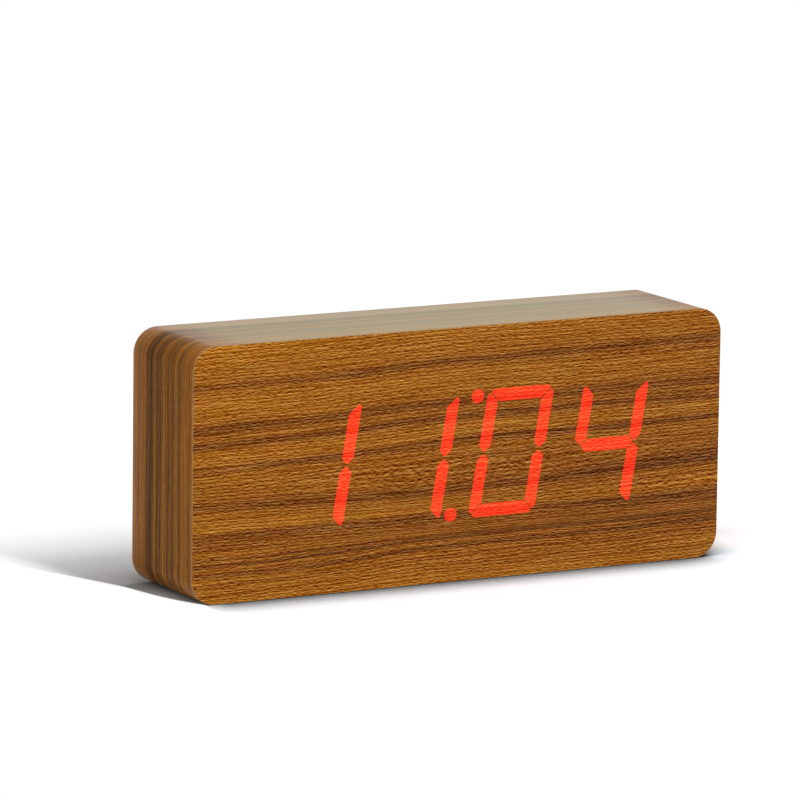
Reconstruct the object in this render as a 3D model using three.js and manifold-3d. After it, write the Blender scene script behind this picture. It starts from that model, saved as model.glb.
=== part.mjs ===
// Digital wooden alarm clock: a veneered slab whose thin front sheet lets a red four-digit display
// shine through, with a black rear panel for the battery bay, the buttons and the power inlet.
// Millimetres, +X to the right, +Y to the back, +Z up, origin at the centre of the footprint.

import * as THREE from 'three';
import { mergeVertices } from 'three/addons/utils/BufferGeometryUtils.js';
import Module from 'manifold-3d';

const wasm = await Module();
wasm.setup();

// The case
const clockWidth = 210;
const clockHeight = 90;
const clockDepth = 46;
const cornerRadius = 9;
const veneerThickness = 0.6;
const glueLine = 0.1;
const seamGap = 0.3;
const seamOffset = 60;

// The display: four modules side by side, every other one turned upside down
const shownDigits = ['1', '1', '0', '4'];
const digitHeight = 45;
const digitWidth = 26.5;
const segmentThickness = 4.4;
const digitCornerRadius = 3.2;
const mitreGap = 0.58;
const waistGap = 0.44;
const slantShare = 0.173;
const modulePitch = 38.2;
const moduleGap = 0.3;
const moduleMargin = 5.75;
const moduleDepth = 10.2;
const digitSideShift = 0.22;
const digitDrop = 0.22;
const dotRadius = 2.4;
const dotGap = 1.6;
const dotDrop = 0.5;
const displaySideShift = 1;
const displayDrop = 0.36;
const segmentFit = 0.1;
const windowFit = 0.3;
const pottingThickness = 1.6;
const pottingWall = 1.2;
const boardThickness = 1.6;
const displayBoardFit = 0.3;

// The rear panel and what holds it
const panelThickness = 3;
const panelInset = 0.8;
const sideRim = 20.5;
const upperRim = 8.6;
const panelLedge = 3.5;
const panelFit = 0.3;
const panelSeatGap = 0.2;
const panelCornerRadius = 5;
const cavityCornerRadius = 10;
const screwInset = 4;
const screwShankRadius = 1.2;
const screwShankLength = 9;
const screwHeadRadius = 2.8;
const screwHeadHeight = 1.4;
const screwFit = 0.2;
const recessWidth = 0.7;
const recessLength = 3;
const recessDepth = 0.8;

// The batteries, their tray and its door
const cellRadius = 5.25;
const cellLength = 44.5;
const cellTipRadius = 1.9;
const cellTipHeight = 0.8;
const cellEdge = 0.4;
const cellPitch = 10.9;
const cellCount = 4;
const cellGap = 0.3;
const trayFloor = 1.4;
const trayWall = 1.7;
const trayMargin = 5;
const cradleRise = 2.2;
const cradleHalfWidth = 1.6;
const contactThickness = 0.4;
const contactHalfHeight = 4;
const contactBump = 1.4;
const contactBumpRadius = 2;
const contactBow = 3.4;
const contactBowHalfLength = 3.2;
const contactBowWidth = 5;
const doorThickness = 2;
const doorLedge = 1.4;
const doorGap = 0.3;
const doorSeatGap = 0.2;
const barrelRadius = 1.3;
const hingePinRadius = 0.7;
const hingePinLength = 1.1;
const hingeBoreRadius = 0.9;
const hingeGap = 0.3;
const latchWidth = 11;
const latchLength = 8;
const latchSlot = 0.8;
const gripRise = 0.4;
const gripWidth = 0.8;
const gripPitch = 1.8;
const gripCount = 3;
const scoopRadius = 6.5;
const scoopDepth = 1.5;

// The control board and what stands on it
const controlBoardWidth = 54;
const controlBoardHeight = 44;
const controlBoardMargin = 5;
const postInset = 4;
const postRadius = 2.2;
const stakeRadius = 1.1;
const stakeFit = 0.2;
const stakeHeadRadius = 1.9;
const stakeHeadHeight = 0.8;
const buttonPitch = 15;
const buttonRowRise = 11;
const buttonRadius = 3.5;
const buttonProud = 0.7;
const buttonFit = 0.3;
const buttonFlangeRadius = 4.8;
const buttonFlangeThickness = 0.8;
const buttonStemRadius = 1.6;
const buttonEdge = 0.4;
const pressTravel = 0.5;
const keySwitchSide = 6;
const keySwitchHeight = 3.6;
const keyStemSink = 1;
const keyStemFit = 0.2;
const slideRowDrop = 3;
const slideSwitchWidth = 8.7;
const slideSwitchDepth = 4.4;
const slideSwitchHeight = 5;
const slideKnobWidth = 1.8;
const slideKnobDepth = 2;
const slideKnobProud = 0.4;
const slideKnobSink = 1.3;
const slideTravel = 2;
const slideFit = 0.3;
const jackDrop = 14;
const jackHeight = 12;
const jackInset = 0.2;
const jackSide = 11;
const jackCollarRadius = 4.2;
const jackBoreRadius = 3.1;
const jackBoreDepth = 9.5;
const jackPinRadius = 1;
const jackPinSink = 1;
const jackFit = 0.3;
const buzzerDrop = 5;
const buzzerRadius = 6;
const buzzerHeight = 8.5;
const buzzerPortRadius = 1;
const buzzerPortDepth = 1.5;
const soundHoleRadius = 0.8;
const soundHolePitch = 3;
const soundHoleCount = 6;
const microphoneDrop = 3;
const microphoneRadius = 4.8;
const microphoneHeight = 4.5;
const microphonePortDepth = 0.6;
const coinRadius = 10;
const coinThickness = 3.2;
const coinFit = 0.2;
const coinRise = 6;
const holderWall = 1.4;
const holderFloor = 1.1;
const holderLipThickness = 0.7;
const holderLipReach = 1.2;
const holderLipWidth = 6;

// The ribbon between the two boards, and the twin lead from the battery tray
const ribbonWidth = 12.7;
const ribbonThickness = 1;
const ribbonSideInset = 15;
const ribbonEndRise = 7;
const ribbonBend = 4;
const leadWidth = 2.6;
const leadThickness = 1.3;
const leadBend = 2.4;
const leadEndInset = 3.5;
const leadDrop = 12;
const solderGap = 0.3;

// How far a cutting solid runs past the face that it cuts, and how finely round shapes are divided
const overrun = 1;
const caseArcSteps = 8;
const smallArcSteps = 4;
const roundSides = 20;
const smallSides = 12;
const bendSteps = 5;

// Depths, from the front face to the back
const frontY = -clockDepth / 2;
const backY = clockDepth / 2;
const bodyFrontY = frontY + veneerThickness + glueLine;
const bodyBackY = backY - veneerThickness - glueLine;
const moduleBackY = bodyFrontY + moduleDepth;
const displayBoardBackY = moduleBackY + boardThickness;
const panelFaceY = backY - panelInset;
const panelInnerY = panelFaceY - panelThickness;
const panelSeatY = panelInnerY - panelSeatGap;
const doorInnerY = panelFaceY - doorThickness;
const cellY = doorInnerY - cellGap - cellRadius;
const trayFloorY = cellY - cellRadius - cellGap;
const controlBoardBackY = panelFaceY - jackInset - jackHeight;
const controlBoardFrontY = controlBoardBackY - boardThickness;

// Heights and widths that follow from them
const middleZ = clockHeight / 2;
const displayZ = middleZ - displayDrop;
const moduleCount = shownDigits.length;
const moduleWidth = modulePitch - moduleGap;
const moduleHeight = digitHeight + 2 * moduleMargin;
const displayWidth = (moduleCount - 1) * modulePitch + moduleWidth;
const rabbetWidth = clockWidth - 2 * sideRim;
const rabbetHeight = clockHeight - 2 * upperRim;
const cavityWidth = rabbetWidth - 2 * panelLedge;
const cavityHeight = rabbetHeight - 2 * panelLedge;
const displayBoardWidth = cavityWidth - 2 * displayBoardFit;
const displayBoardHeight = cavityHeight - 2 * displayBoardFit;
const panelWidth = rabbetWidth - 2 * panelFit;
const panelHeight = rabbetHeight - 2 * panelFit;

// The battery bay, at the right of the panel seen from the front
const bayLength = cellLength + contactBump + contactBow + 2 * cellGap;
const bayHeight = cellCount * cellPitch;
const trayHighX = cavityWidth / 2 - trayMargin;
const doorRecessHighX = trayHighX - trayWall;
const hingeX = doorRecessHighX - hingeGap - barrelRadius;
const hingeY = panelFaceY - barrelRadius;
const bayHighX = hingeX - barrelRadius - hingeGap;
const bayLowX = bayHighX - bayLength;
const doorRecessLowX = bayLowX - doorLedge;
const trayLowX = doorRecessLowX - trayWall;
const doorRecessHeight = bayHeight + 2 * doorLedge;
const doorHeight = doorRecessHeight - 2 * doorGap;
const trayHeight = doorRecessHeight + 2 * trayWall;

// The controls, at the left of the panel seen from the front
const controlX = -cavityWidth / 2 + controlBoardMargin + controlBoardWidth / 2;
const buttonZ = middleZ + buttonRowRise;
const keyStemEndY = controlBoardBackY + keySwitchHeight - keyStemSink;
const keyBoreDepth = keyStemSink + pressTravel + keyStemFit;
const slideX = controlX + buttonPitch;
const slideZ = middleZ - slideRowDrop;
const slideKnobX = slideX - slideTravel / 2;
const jackX = controlX + buttonPitch;
const jackZ = middleZ - jackDrop;
const jackFaceY = panelFaceY - jackInset;
const buzzerX = controlX - buttonPitch;
const buzzerZ = middleZ - buzzerDrop;
const microphoneZ = middleZ - microphoneDrop;
const coinZ = middleZ + coinRise;

function solidFrom(geometry) {
  const bare = geometry.clone();
  bare.deleteAttribute('normal');
  bare.deleteAttribute('uv');
  const merged = mergeVertices(bare);
  const vertProperties = new Float32Array(merged.attributes.position.array);
  const triVerts = new Uint32Array(merged.index.array);
  return new wasm.Manifold(new wasm.Mesh({ numProp: 3, vertProperties, triVerts }));
}

function geometryFrom(solid) {
  const mesh = solid.getMesh();
  const geometry = new THREE.BufferGeometry();
  geometry.setAttribute('position', new THREE.BufferAttribute(mesh.vertProperties, mesh.numProp));
  geometry.setIndex(new THREE.BufferAttribute(mesh.triVerts, 1));
  return geometry;
}

// The base with every added piece joined to it, and then every cutter taken away
function shaped(base, added, cutters) {
  let solid = solidFrom(base);
  for (const piece of added) solid = solid.add(solidFrom(piece));
  for (const cutter of cutters) solid = solid.subtract(solidFrom(cutter));
  return geometryFrom(solid);
}

function block(lowX, highX, lowY, highY, lowZ, highZ) {
  const geometry = new THREE.BoxGeometry(highX - lowX, highY - lowY, highZ - lowZ);
  return geometry.translate((lowX + highX) / 2, (lowY + highY) / 2, (lowZ + highZ) / 2);
}

// A block given by its middle in X and Z, its width and its height
function pad(x, z, width, height, lowY, highY) {
  return block(x - width / 2, x + width / 2, lowY, highY, z - height / 2, z + height / 2);
}

// A round rod along Y
function rod(x, z, radius, lowY, highY, sides) {
  const geometry = new THREE.CylinderGeometry(radius, radius, highY - lowY, sides);
  return geometry.translate(x, (lowY + highY) / 2, z);
}

// A round rod along Z
function post(x, y, radius, lowZ, highZ, sides) {
  const geometry = new THREE.CylinderGeometry(radius, radius, highZ - lowZ, sides);
  return geometry.rotateX(Math.PI / 2).translate(x, y, (lowZ + highZ) / 2);
}

// An outline in X and Z, extruded along Y
function plate(outline, lowY, highY, arcSteps) {
  const settings = { depth: highY - lowY, bevelEnabled: false, curveSegments: arcSteps };
  const geometry = new THREE.ExtrudeGeometry(outline, settings);
  return geometry.rotateX(Math.PI / 2).translate(0, highY, 0);
}

function roundedOutline(width, height, radius) {
  const x = width / 2 - radius;
  const z = height / 2 - radius;
  const quarter = Math.PI / 2;
  const outline = new THREE.Shape();
  outline.absarc(x, z, radius, 0, quarter);
  outline.absarc(-x, z, radius, quarter, 2 * quarter);
  outline.absarc(-x, -z, radius, 2 * quarter, 3 * quarter);
  outline.absarc(x, -z, radius, 3 * quarter, 4 * quarter);
  return outline;
}

// A sheet or block whose outline follows the case's, drawn in from it by an inset
function caseSlab(inset, lowY, highY) {
  const width = clockWidth - 2 * inset;
  const height = clockHeight - 2 * inset;
  const outline = roundedOutline(width, height, cornerRadius - inset);
  return plate(outline, lowY, highY, caseArcSteps).translate(0, 0, middleZ);
}

// A rounded rectangle in the middle of the case's back
function rearSlab(width, height, radius, lowY, highY) {
  return plate(roundedOutline(width, height, radius), lowY, highY, smallArcSteps).translate(0, 0, middleZ);
}

function frontVeneer() {
  return caseSlab(0, frontY, frontY + veneerThickness);
}

function sideWrap() {
  const inner = caseSlab(veneerThickness, frontY, backY + overrun);
  const seamHalf = seamGap / 2;
  const seam = block(-seamOffset - seamHalf, -seamOffset + seamHalf, frontY, backY + overrun,
    -overrun, veneerThickness + overrun);
  return shaped(caseSlab(0, bodyFrontY, backY), [], [inner, seam]);
}

function rearVeneer() {
  const sheet = caseSlab(veneerThickness + glueLine, backY - veneerThickness, backY);
  const opening = rearSlab(rabbetWidth, rabbetHeight, panelCornerRadius + panelFit,
    bodyBackY, backY + overrun);
  return shaped(sheet, [], [opening]);
}

function screwPlaces() {
  const x = panelWidth / 2 - screwInset;
  const z = panelHeight / 2 - screwInset;
  return [[x, middleZ + z], [-x, middleZ + z], [x, middleZ - z], [-x, middleZ - z]];
}

function caseBody() {
  const body = caseSlab(veneerThickness + glueLine, bodyFrontY, bodyBackY);
  const window = pad(displaySideShift, displayZ, displayWidth + 2 * windowFit,
    moduleHeight + 2 * windowFit, bodyFrontY - overrun, moduleBackY + overrun);
  const cavity = rearSlab(cavityWidth, cavityHeight, cavityCornerRadius, moduleBackY, panelSeatY + overrun);
  const rabbet = rearSlab(rabbetWidth, rabbetHeight, panelCornerRadius + panelFit,
    panelSeatY, bodyBackY + overrun);
  const pilotY = panelFaceY - screwHeadHeight - screwShankLength - overrun;
  const pilots = screwPlaces().map(([x, z]) =>
    rod(x, z, screwShankRadius + screwFit, pilotY, panelSeatY + overrun, smallSides));
  return shaped(body, [], [window, cavity, rabbet, ...pilots]);
}

// The outlines of the seven segments about the digit's middle, all grown outwards by one amount
function segmentPoints(growth) {
  const halfWidth = digitWidth / 2 + growth;
  const halfHeight = digitHeight / 2 + growth;
  const thickness = segmentThickness + 2 * growth;
  const radius = digitCornerRadius + growth;
  const gap = mitreGap - 2 * growth;
  const waist = waistGap / 2 - growth * Math.SQRT2;
  const innerWidth = halfWidth - thickness;
  const innerHeight = halfHeight - thickness;
  const mitreStep = gap / Math.SQRT2;
  const barEnd = gap * Math.SQRT2 - waist;
  const diagonal = Math.PI / 4;
  const mitreAngle = Math.asin(gap / 2 / radius);
  const arc = (fromAngle, toAngle) => Array.from({ length: smallArcSteps }, (_, step) => {
    const angle = fromAngle + (toAngle - fromAngle) * step / (smallArcSteps - 1);
    return [halfWidth - radius + radius * Math.cos(angle), halfHeight - radius + radius * Math.sin(angle)];
  });
  const turned = (points) => points.map(([u, v]) => [-u, -v]);
  const flippedSide = (points) => points.map(([u, v]) => [-u, v]);
  const flippedUp = (points) => points.map(([u, v]) => [u, -v]);
  const topCorner = arc(diagonal + mitreAngle, 2 * diagonal);
  const top = [
    [innerWidth - mitreStep, innerHeight],
    ...topCorner,
    ...flippedSide(topCorner).reverse(),
    [mitreStep - innerWidth, innerHeight],
  ];
  const side = [
    [innerWidth, innerHeight - mitreStep],
    ...arc(diagonal - mitreAngle, 0),
    [halfWidth, thickness / 2 + waist],
    [halfWidth - thickness / 2, waist],
    [innerWidth, thickness / 2 + waist],
  ];
  const barSide = [
    [innerWidth - barEnd, -thickness / 2],
    [halfWidth - thickness / 2 - barEnd, 0],
    [innerWidth - barEnd, thickness / 2],
  ];
  return {
    a: top,
    b: side,
    c: flippedUp(side),
    d: flippedUp(top),
    e: turned(side),
    f: flippedSide(side),
    g: [...barSide, ...turned(barSide)],
  };
}

// An outline about the digit's middle, leaned to the right and shifted to its place in the module
function leanedOutline(points) {
  return new THREE.Shape(points.map(([u, v]) =>
    new THREE.Vector2(digitSideShift + u + v * slantShare, v - digitDrop)));
}

// The light windows of a module about its own middle: seven segments and a dot
function moduleWindows(growth, lowY, highY) {
  const windows = {};
  for (const [letter, points] of Object.entries(segmentPoints(growth))) {
    windows[letter] = plate(leanedOutline(points), lowY, highY, smallArcSteps);
  }
  const dotU = digitWidth / 2 + dotGap + dotRadius;
  const dotV = dotRadius - digitHeight / 2 - dotDrop;
  windows.dot = rod(digitSideShift + dotU + dotV * slantShare, dotV - digitDrop,
    dotRadius + growth, lowY, highY, roundSides);
  return windows;
}

function moduleHousing() {
  const shell = pad(0, 0, moduleWidth, moduleHeight, bodyFrontY, moduleBackY);
  const wells = Object.values(moduleWindows(segmentFit, bodyFrontY - overrun, moduleBackY + overrun));
  const back = pad(0, 0, moduleWidth - 2 * pottingWall, moduleHeight - 2 * pottingWall,
    moduleBackY - pottingThickness, moduleBackY + overrun);
  return shaped(shell, [], [back, ...wells]);
}

// The clear resin at a module's back, with the fills of the segments that are dark
function modulePotting(darkLetters) {
  const layer = pad(0, 0, moduleWidth - 2 * (pottingWall + segmentFit),
    moduleHeight - 2 * (pottingWall + segmentFit), moduleBackY - pottingThickness + segmentFit, moduleBackY);
  const windows = moduleWindows(0, bodyFrontY, moduleBackY - pottingThickness / 2);
  return shaped(layer, darkLetters.map((letter) => windows[letter]), []);
}

function displayBoard() {
  return rearSlab(displayBoardWidth, displayBoardHeight, cavityCornerRadius - displayBoardFit,
    moduleBackY, displayBoardBackY);
}

// A screw about its own axis, along Y, with its head's outer face at zero and a cross recess
function panelScrew() {
  const shank = rod(0, 0, screwShankRadius, -screwHeadHeight - screwShankLength,
    -screwHeadHeight / 2, smallSides);
  const head = rod(0, 0, screwHeadRadius, -screwHeadHeight, 0, roundSides);
  const slots = [[recessLength, recessWidth], [recessWidth, recessLength]].map(([width, height]) =>
    pad(0, 0, width, height, -recessDepth, overrun));
  return shaped(head, [shank], slots);
}

function postPlaces() {
  const x = controlBoardWidth / 2 - postInset;
  const z = controlBoardHeight / 2 - postInset;
  return [[x, z], [-x, z], [x, -z], [-x, -z]].map(([u, v]) => [controlX + u, middleZ + v]);
}

// A post under the panel that the control board is staked to
function boardPost(x, z) {
  const headHighY = controlBoardFrontY - stakeFit;
  return [
    rod(x, z, postRadius, controlBoardBackY, panelInnerY + overrun, smallSides),
    rod(x, z, stakeRadius, headHighY - stakeHeadHeight / 2, controlBoardBackY + overrun, smallSides),
    rod(x, z, stakeHeadRadius, headHighY - stakeHeadHeight, headHighY, smallSides),
  ];
}

// The low ridge on the tray's floor between two cells
function cradleRidge(z) {
  const outline = new THREE.Shape([
    new THREE.Vector2(-cradleHalfWidth, -trayFloor / 2),
    new THREE.Vector2(cradleHalfWidth, -trayFloor / 2),
    new THREE.Vector2(cradleHalfWidth, 0),
    new THREE.Vector2(0, cradleRise),
    new THREE.Vector2(-cradleHalfWidth, 0),
  ]);
  const ridge = new THREE.ExtrudeGeometry(outline, { depth: cellLength / 2, bevelEnabled: false });
  const middleX = (bayLowX + bayHighX) / 2;
  return ridge.rotateY(Math.PI / 2).rotateX(Math.PI / 2)
    .translate(middleX - cellLength / 4, trayFloorY, z);
}

function cellZ(index) {
  return middleZ + ((cellCount - 1) / 2 - index) * cellPitch;
}

function soundHoles() {
  const places = [[0, 0]];
  for (let hole = 0; hole < soundHoleCount; hole += 1) {
    const angle = 2 * Math.PI * hole / soundHoleCount;
    places.push([soundHolePitch * Math.cos(angle), soundHolePitch * Math.sin(angle)]);
  }
  return places.map(([u, v]) => rod(buzzerX + u, buzzerZ + v, soundHoleRadius,
    panelInnerY - overrun, panelFaceY + overrun, smallSides));
}

function controlCutouts() {
  const lowY = panelInnerY - overrun;
  const highY = panelFaceY + overrun;
  const buttons = [1, 0, -1].map((step) =>
    rod(controlX + step * buttonPitch, buttonZ, buttonRadius + buttonFit, lowY, highY, roundSides));
  const slot = pad(slideX, slideZ, slideKnobWidth + slideTravel + 2 * slideFit,
    slideKnobDepth + 2 * slideFit, lowY, highY);
  const inlet = rod(jackX, jackZ, jackCollarRadius + jackFit, lowY, highY, roundSides);
  const voice = rod(controlX, microphoneZ, soundHoleRadius, lowY, highY, smallSides);
  return [...buttons, slot, inlet, voice, ...soundHoles()];
}

function doorCutouts() {
  const halfRecess = doorRecessHeight / 2;
  const boreReach = halfRecess + hingePinLength + hingeGap;
  const bay = block(bayLowX, bayHighX, trayFloorY, panelFaceY + overrun,
    middleZ - bayHeight / 2, middleZ + bayHeight / 2);
  const recess = block(doorRecessLowX, doorRecessHighX, doorInnerY - doorSeatGap, panelFaceY + overrun,
    middleZ - halfRecess, middleZ + halfRecess);
  const groove = post(hingeX, hingeY, barrelRadius + hingeGap, middleZ - halfRecess,
    middleZ + halfRecess, smallSides);
  const bores = post(hingeX, hingeY, hingeBoreRadius, middleZ - boreReach, middleZ + boreReach, smallSides);
  const scoop = rod(doorRecessLowX, middleZ, scoopRadius, panelFaceY - scoopDepth,
    panelFaceY + overrun, roundSides);
  return [bay, recess, groove, bores, scoop];
}

function rearPanel() {
  const sheet = rearSlab(panelWidth, panelHeight, panelCornerRadius, panelInnerY, panelFaceY);
  const tray = block(trayLowX, trayHighX, trayFloorY - trayFloor, panelInnerY + overrun,
    middleZ - trayHeight / 2, middleZ + trayHeight / 2);
  const counterbores = screwPlaces().flatMap(([x, z]) => [
    rod(x, z, screwHeadRadius + screwFit, panelFaceY - screwHeadHeight - glueLine,
      panelFaceY + overrun, roundSides),
    rod(x, z, screwShankRadius + screwFit, panelInnerY - overrun, panelFaceY, smallSides),
  ]);
  const hollow = shaped(sheet, [tray], [...counterbores, ...doorCutouts(), ...controlCutouts()]);
  const ridges = [];
  for (let gap = 1; gap < cellCount; gap += 1) {
    ridges.push(cradleRidge((cellZ(gap - 1) + cellZ(gap)) / 2));
  }
  const posts = postPlaces().flatMap(([x, z]) => boardPost(x, z));
  return shaped(hollow, [...ridges, ...posts], []);
}

// The door about its hinge axis, hinged at +X, with two slots that free its latch tongue
function batteryDoor() {
  const lowX = doorRecessLowX + doorGap - hingeX;
  const halfHeight = doorHeight / 2;
  const sheet = block(lowX, 0, doorInnerY - hingeY, panelFaceY - hingeY, -halfHeight, halfHeight);
  const barrel = post(0, 0, barrelRadius, -halfHeight, halfHeight, smallSides);
  const pinReach = doorRecessHeight / 2 + hingePinLength;
  const pins = post(0, 0, hingePinRadius, -pinReach, pinReach, smallSides);
  const grips = Array.from({ length: gripCount }, (_, grip) => {
    const x = lowX + gripPitch * (grip + 1);
    return block(x - gripWidth / 2, x + gripWidth / 2, 0, panelFaceY - hingeY + gripRise,
      -latchWidth / 2 + gripWidth, latchWidth / 2 - gripWidth);
  });
  const slots = [1, -1].map((side) => pad(lowX, side * (latchWidth + latchSlot) / 2,
    2 * latchLength, latchSlot, doorInnerY - hingeY - overrun, panelFaceY - hingeY + overrun));
  return shaped(sheet, [barrel, pins, ...grips], slots);
}

// A dry cell standing on its flat end, along +Y
function batteryCell() {
  const shoulder = cellLength - cellTipHeight;
  const profile = [
    [0, 0],
    [cellRadius - cellEdge, 0],
    [cellRadius, cellEdge],
    [cellRadius, shoulder - cellEdge],
    [cellRadius - cellEdge, shoulder],
    [cellTipRadius, shoulder],
    [cellTipRadius, cellLength],
    [0, cellLength],
  ];
  return new THREE.LatheGeometry(profile.map(([r, y]) => new THREE.Vector2(r, y)), roundSides);
}

// A band of even thickness along a bent line, as an outline
function bandOutline(line, thickness) {
  const half = thickness / 2;
  const side = (sign) => line.map(([u, v], index) => {
    const [u0, v0] = line[Math.max(index - 1, 0)];
    const [u1, v1] = line[Math.min(index + 1, line.length - 1)];
    const length = Math.hypot(u1 - u0, v1 - v0);
    return new THREE.Vector2(u - sign * half * (v1 - v0) / length, v + sign * half * (u1 - u0) / length);
  });
  return new THREE.Shape([...side(1), ...side(-1).reverse()]);
}

// A contact plate on an end wall of the bay: a bump for a cell's tip, a bowed leaf for its flat end
function batteryContact(wallX, inward, rows) {
  const lowZ = Math.min(...rows.map((row) => cellZ(row))) - contactHalfHeight;
  const highZ = Math.max(...rows.map((row) => cellZ(row))) + contactHalfHeight;
  const across = (low, high, ...rest) => (inward > 0
    ? block(wallX + low, wallX + high, ...rest)
    : block(wallX - high, wallX - low, ...rest));
  const sheet = across(0, contactThickness, cellY - contactHalfHeight, cellY + contactHalfHeight, lowZ, highZ);
  const features = rows.map((row) => {
    const tipHere = (row % 2 === 0) === (inward < 0);
    if (tipHere) {
      const bump = new THREE.CylinderGeometry(contactBumpRadius, contactBumpRadius, contactBump, smallSides);
      return bump.rotateZ(Math.PI / 2).translate(wallX + inward * contactBump / 2, cellY, cellZ(row));
    }
    const line = Array.from({ length: 2 * bendSteps + 1 }, (_, step) => {
      const share = step / (2 * bendSteps);
      const rise = contactThickness / 2 + (contactBow - contactThickness) * Math.sin(Math.PI * share);
      return [wallX + inward * rise, cellZ(row) + contactBowHalfLength * (2 * share - 1)];
    });
    return plate(bandOutline(line, contactThickness), cellY - contactBowWidth / 2,
      cellY + contactBowWidth / 2, bendSteps);
  });
  return shaped(sheet, features, []);
}

function controlBoard() {
  const sheet = pad(controlX, middleZ, controlBoardWidth, controlBoardHeight,
    controlBoardFrontY, controlBoardBackY);
  const holes = postPlaces().map(([x, z]) => rod(x, z, stakeRadius + stakeFit,
    controlBoardFrontY - overrun, controlBoardBackY + overrun, smallSides));
  return shaped(sheet, [], holes);
}

// A button with its flange behind the panel and its stem in the key switch, about its own axis
function buttonCap() {
  const flangeHigh = panelInnerY - buttonFit;
  const flangeLow = flangeHigh - buttonFlangeThickness;
  const top = panelFaceY + buttonProud;
  const profile = [
    [0, keyStemEndY],
    [buttonStemRadius, keyStemEndY],
    [buttonStemRadius, flangeLow],
    [buttonFlangeRadius, flangeLow],
    [buttonFlangeRadius, flangeHigh],
    [buttonRadius, flangeHigh],
    [buttonRadius, top - buttonEdge],
    [buttonRadius - buttonEdge, top],
    [0, top],
  ];
  return new THREE.LatheGeometry(profile.map(([r, y]) => new THREE.Vector2(r, y)), roundSides);
}

function keySwitch() {
  const topY = controlBoardBackY + keySwitchHeight;
  const body = pad(0, 0, keySwitchSide, keySwitchSide, controlBoardBackY, topY);
  const bore = rod(0, 0, buttonStemRadius + keyStemFit, topY - keyBoreDepth, topY + overrun, roundSides);
  return shaped(body, [], [bore]);
}

function slideSwitch() {
  const topY = controlBoardBackY + slideSwitchHeight;
  const body = pad(slideX, slideZ, slideSwitchWidth, slideSwitchDepth, controlBoardBackY, topY);
  const slot = pad(slideX, slideZ, slideKnobWidth + slideTravel + 2 * slideFit,
    slideKnobDepth + 2 * slideFit, topY - slideKnobSink - slideFit, topY + overrun);
  return shaped(body, [], [slot]);
}

function slideKnob() {
  const lowY = controlBoardBackY + slideSwitchHeight - slideKnobSink;
  return pad(slideKnobX, slideZ, slideKnobWidth, slideKnobDepth, lowY, panelFaceY + slideKnobProud);
}

function dcJack() {
  const shoulderY = panelInnerY - jackFit;
  const base = pad(jackX, jackZ, jackSide, jackSide, controlBoardBackY, shoulderY);
  const collar = rod(jackX, jackZ, jackCollarRadius, shoulderY - overrun, jackFaceY, roundSides);
  const bore = rod(jackX, jackZ, jackBoreRadius, jackFaceY - jackBoreDepth, jackFaceY + overrun, roundSides);
  const pin = rod(jackX, jackZ, jackPinRadius, controlBoardBackY + overrun,
    jackFaceY - jackPinSink, smallSides);
  return shaped(shaped(base, [collar], [bore]), [pin], []);
}

// A round part that stands on the control board, with a sound port in its top
function roundPart(radius, height, portDepth) {
  const profile = [
    [0, 0],
    [radius, 0],
    [radius, height],
    [buzzerPortRadius, height],
    [buzzerPortRadius, height - portDepth],
    [0, height - portDepth],
  ];
  return new THREE.LatheGeometry(profile.map(([r, y]) => new THREE.Vector2(r, y)), roundSides);
}

function coinHolder() {
  const pocketRadius = coinRadius + coinFit;
  const mouthY = controlBoardFrontY - holderFloor - coinFit - coinThickness - coinFit;
  const ring = rod(controlX, coinZ, pocketRadius + holderWall, mouthY, controlBoardFrontY, roundSides);
  const pocket = rod(controlX, coinZ, pocketRadius, mouthY - overrun,
    controlBoardFrontY - holderFloor, roundSides);
  const lips = [1, -1].map((side) => {
    const innerX = controlX + side * (coinRadius - holderLipReach);
    const outerX = controlX + side * (pocketRadius + holderWall / 2);
    return block(Math.min(innerX, outerX), Math.max(innerX, outerX), mouthY - holderLipThickness,
      mouthY, coinZ - holderLipWidth / 2, coinZ + holderLipWidth / 2);
  });
  const seats = [1, -1].map((side) => {
    const x = controlX + side * (pocketRadius + holderWall / 2);
    return pad(x, coinZ, holderWall / 2, holderLipWidth, mouthY - holderLipThickness, mouthY + overrun);
  });
  return shaped(shaped(ring, [], [pocket]), [...lips, ...seats], []);
}

function coinCell() {
  const highY = controlBoardFrontY - holderFloor - coinFit;
  return rod(controlX, coinZ, coinRadius, highY - coinThickness, highY, roundSides);
}

// A quarter bend about a centre, as points of a bent line
function bend(centreU, centreV, radius, fromAngle, toAngle) {
  return Array.from({ length: bendSteps + 1 }, (_, step) => {
    const angle = fromAngle + (toAngle - fromAngle) * step / bendSteps;
    return [centreU + radius * Math.cos(angle), centreV + radius * Math.sin(angle)];
  });
}

// The flat ribbon, in an S from the display board up to the control board, drawn in Y and Z
function ribbonCable() {
  const startY = displayBoardBackY + solderGap;
  const endY = controlBoardFrontY - solderGap;
  const middleY = (startY + endY) / 2;
  const endZ = middleZ - controlBoardHeight / 2 + ribbonEndRise;
  const startZ = endZ - 2 * ribbonBend;
  const quarter = Math.PI / 2;
  const line = [
    [startY, startZ],
    ...bend(middleY - ribbonBend, startZ + ribbonBend, ribbonBend, -quarter, 0),
    ...bend(middleY + ribbonBend, endZ - ribbonBend, ribbonBend, 2 * quarter, quarter).slice(1),
    [endY, endZ],
  ];
  const outline = bandOutline(line, ribbonThickness);
  const band = new THREE.ExtrudeGeometry(outline, { depth: ribbonWidth, bevelEnabled: false });
  const lowX = -cavityWidth / 2 + ribbonSideInset;
  return band.rotateY(Math.PI / 2).rotateX(Math.PI / 2).translate(lowX, 0, 0);
}

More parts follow.
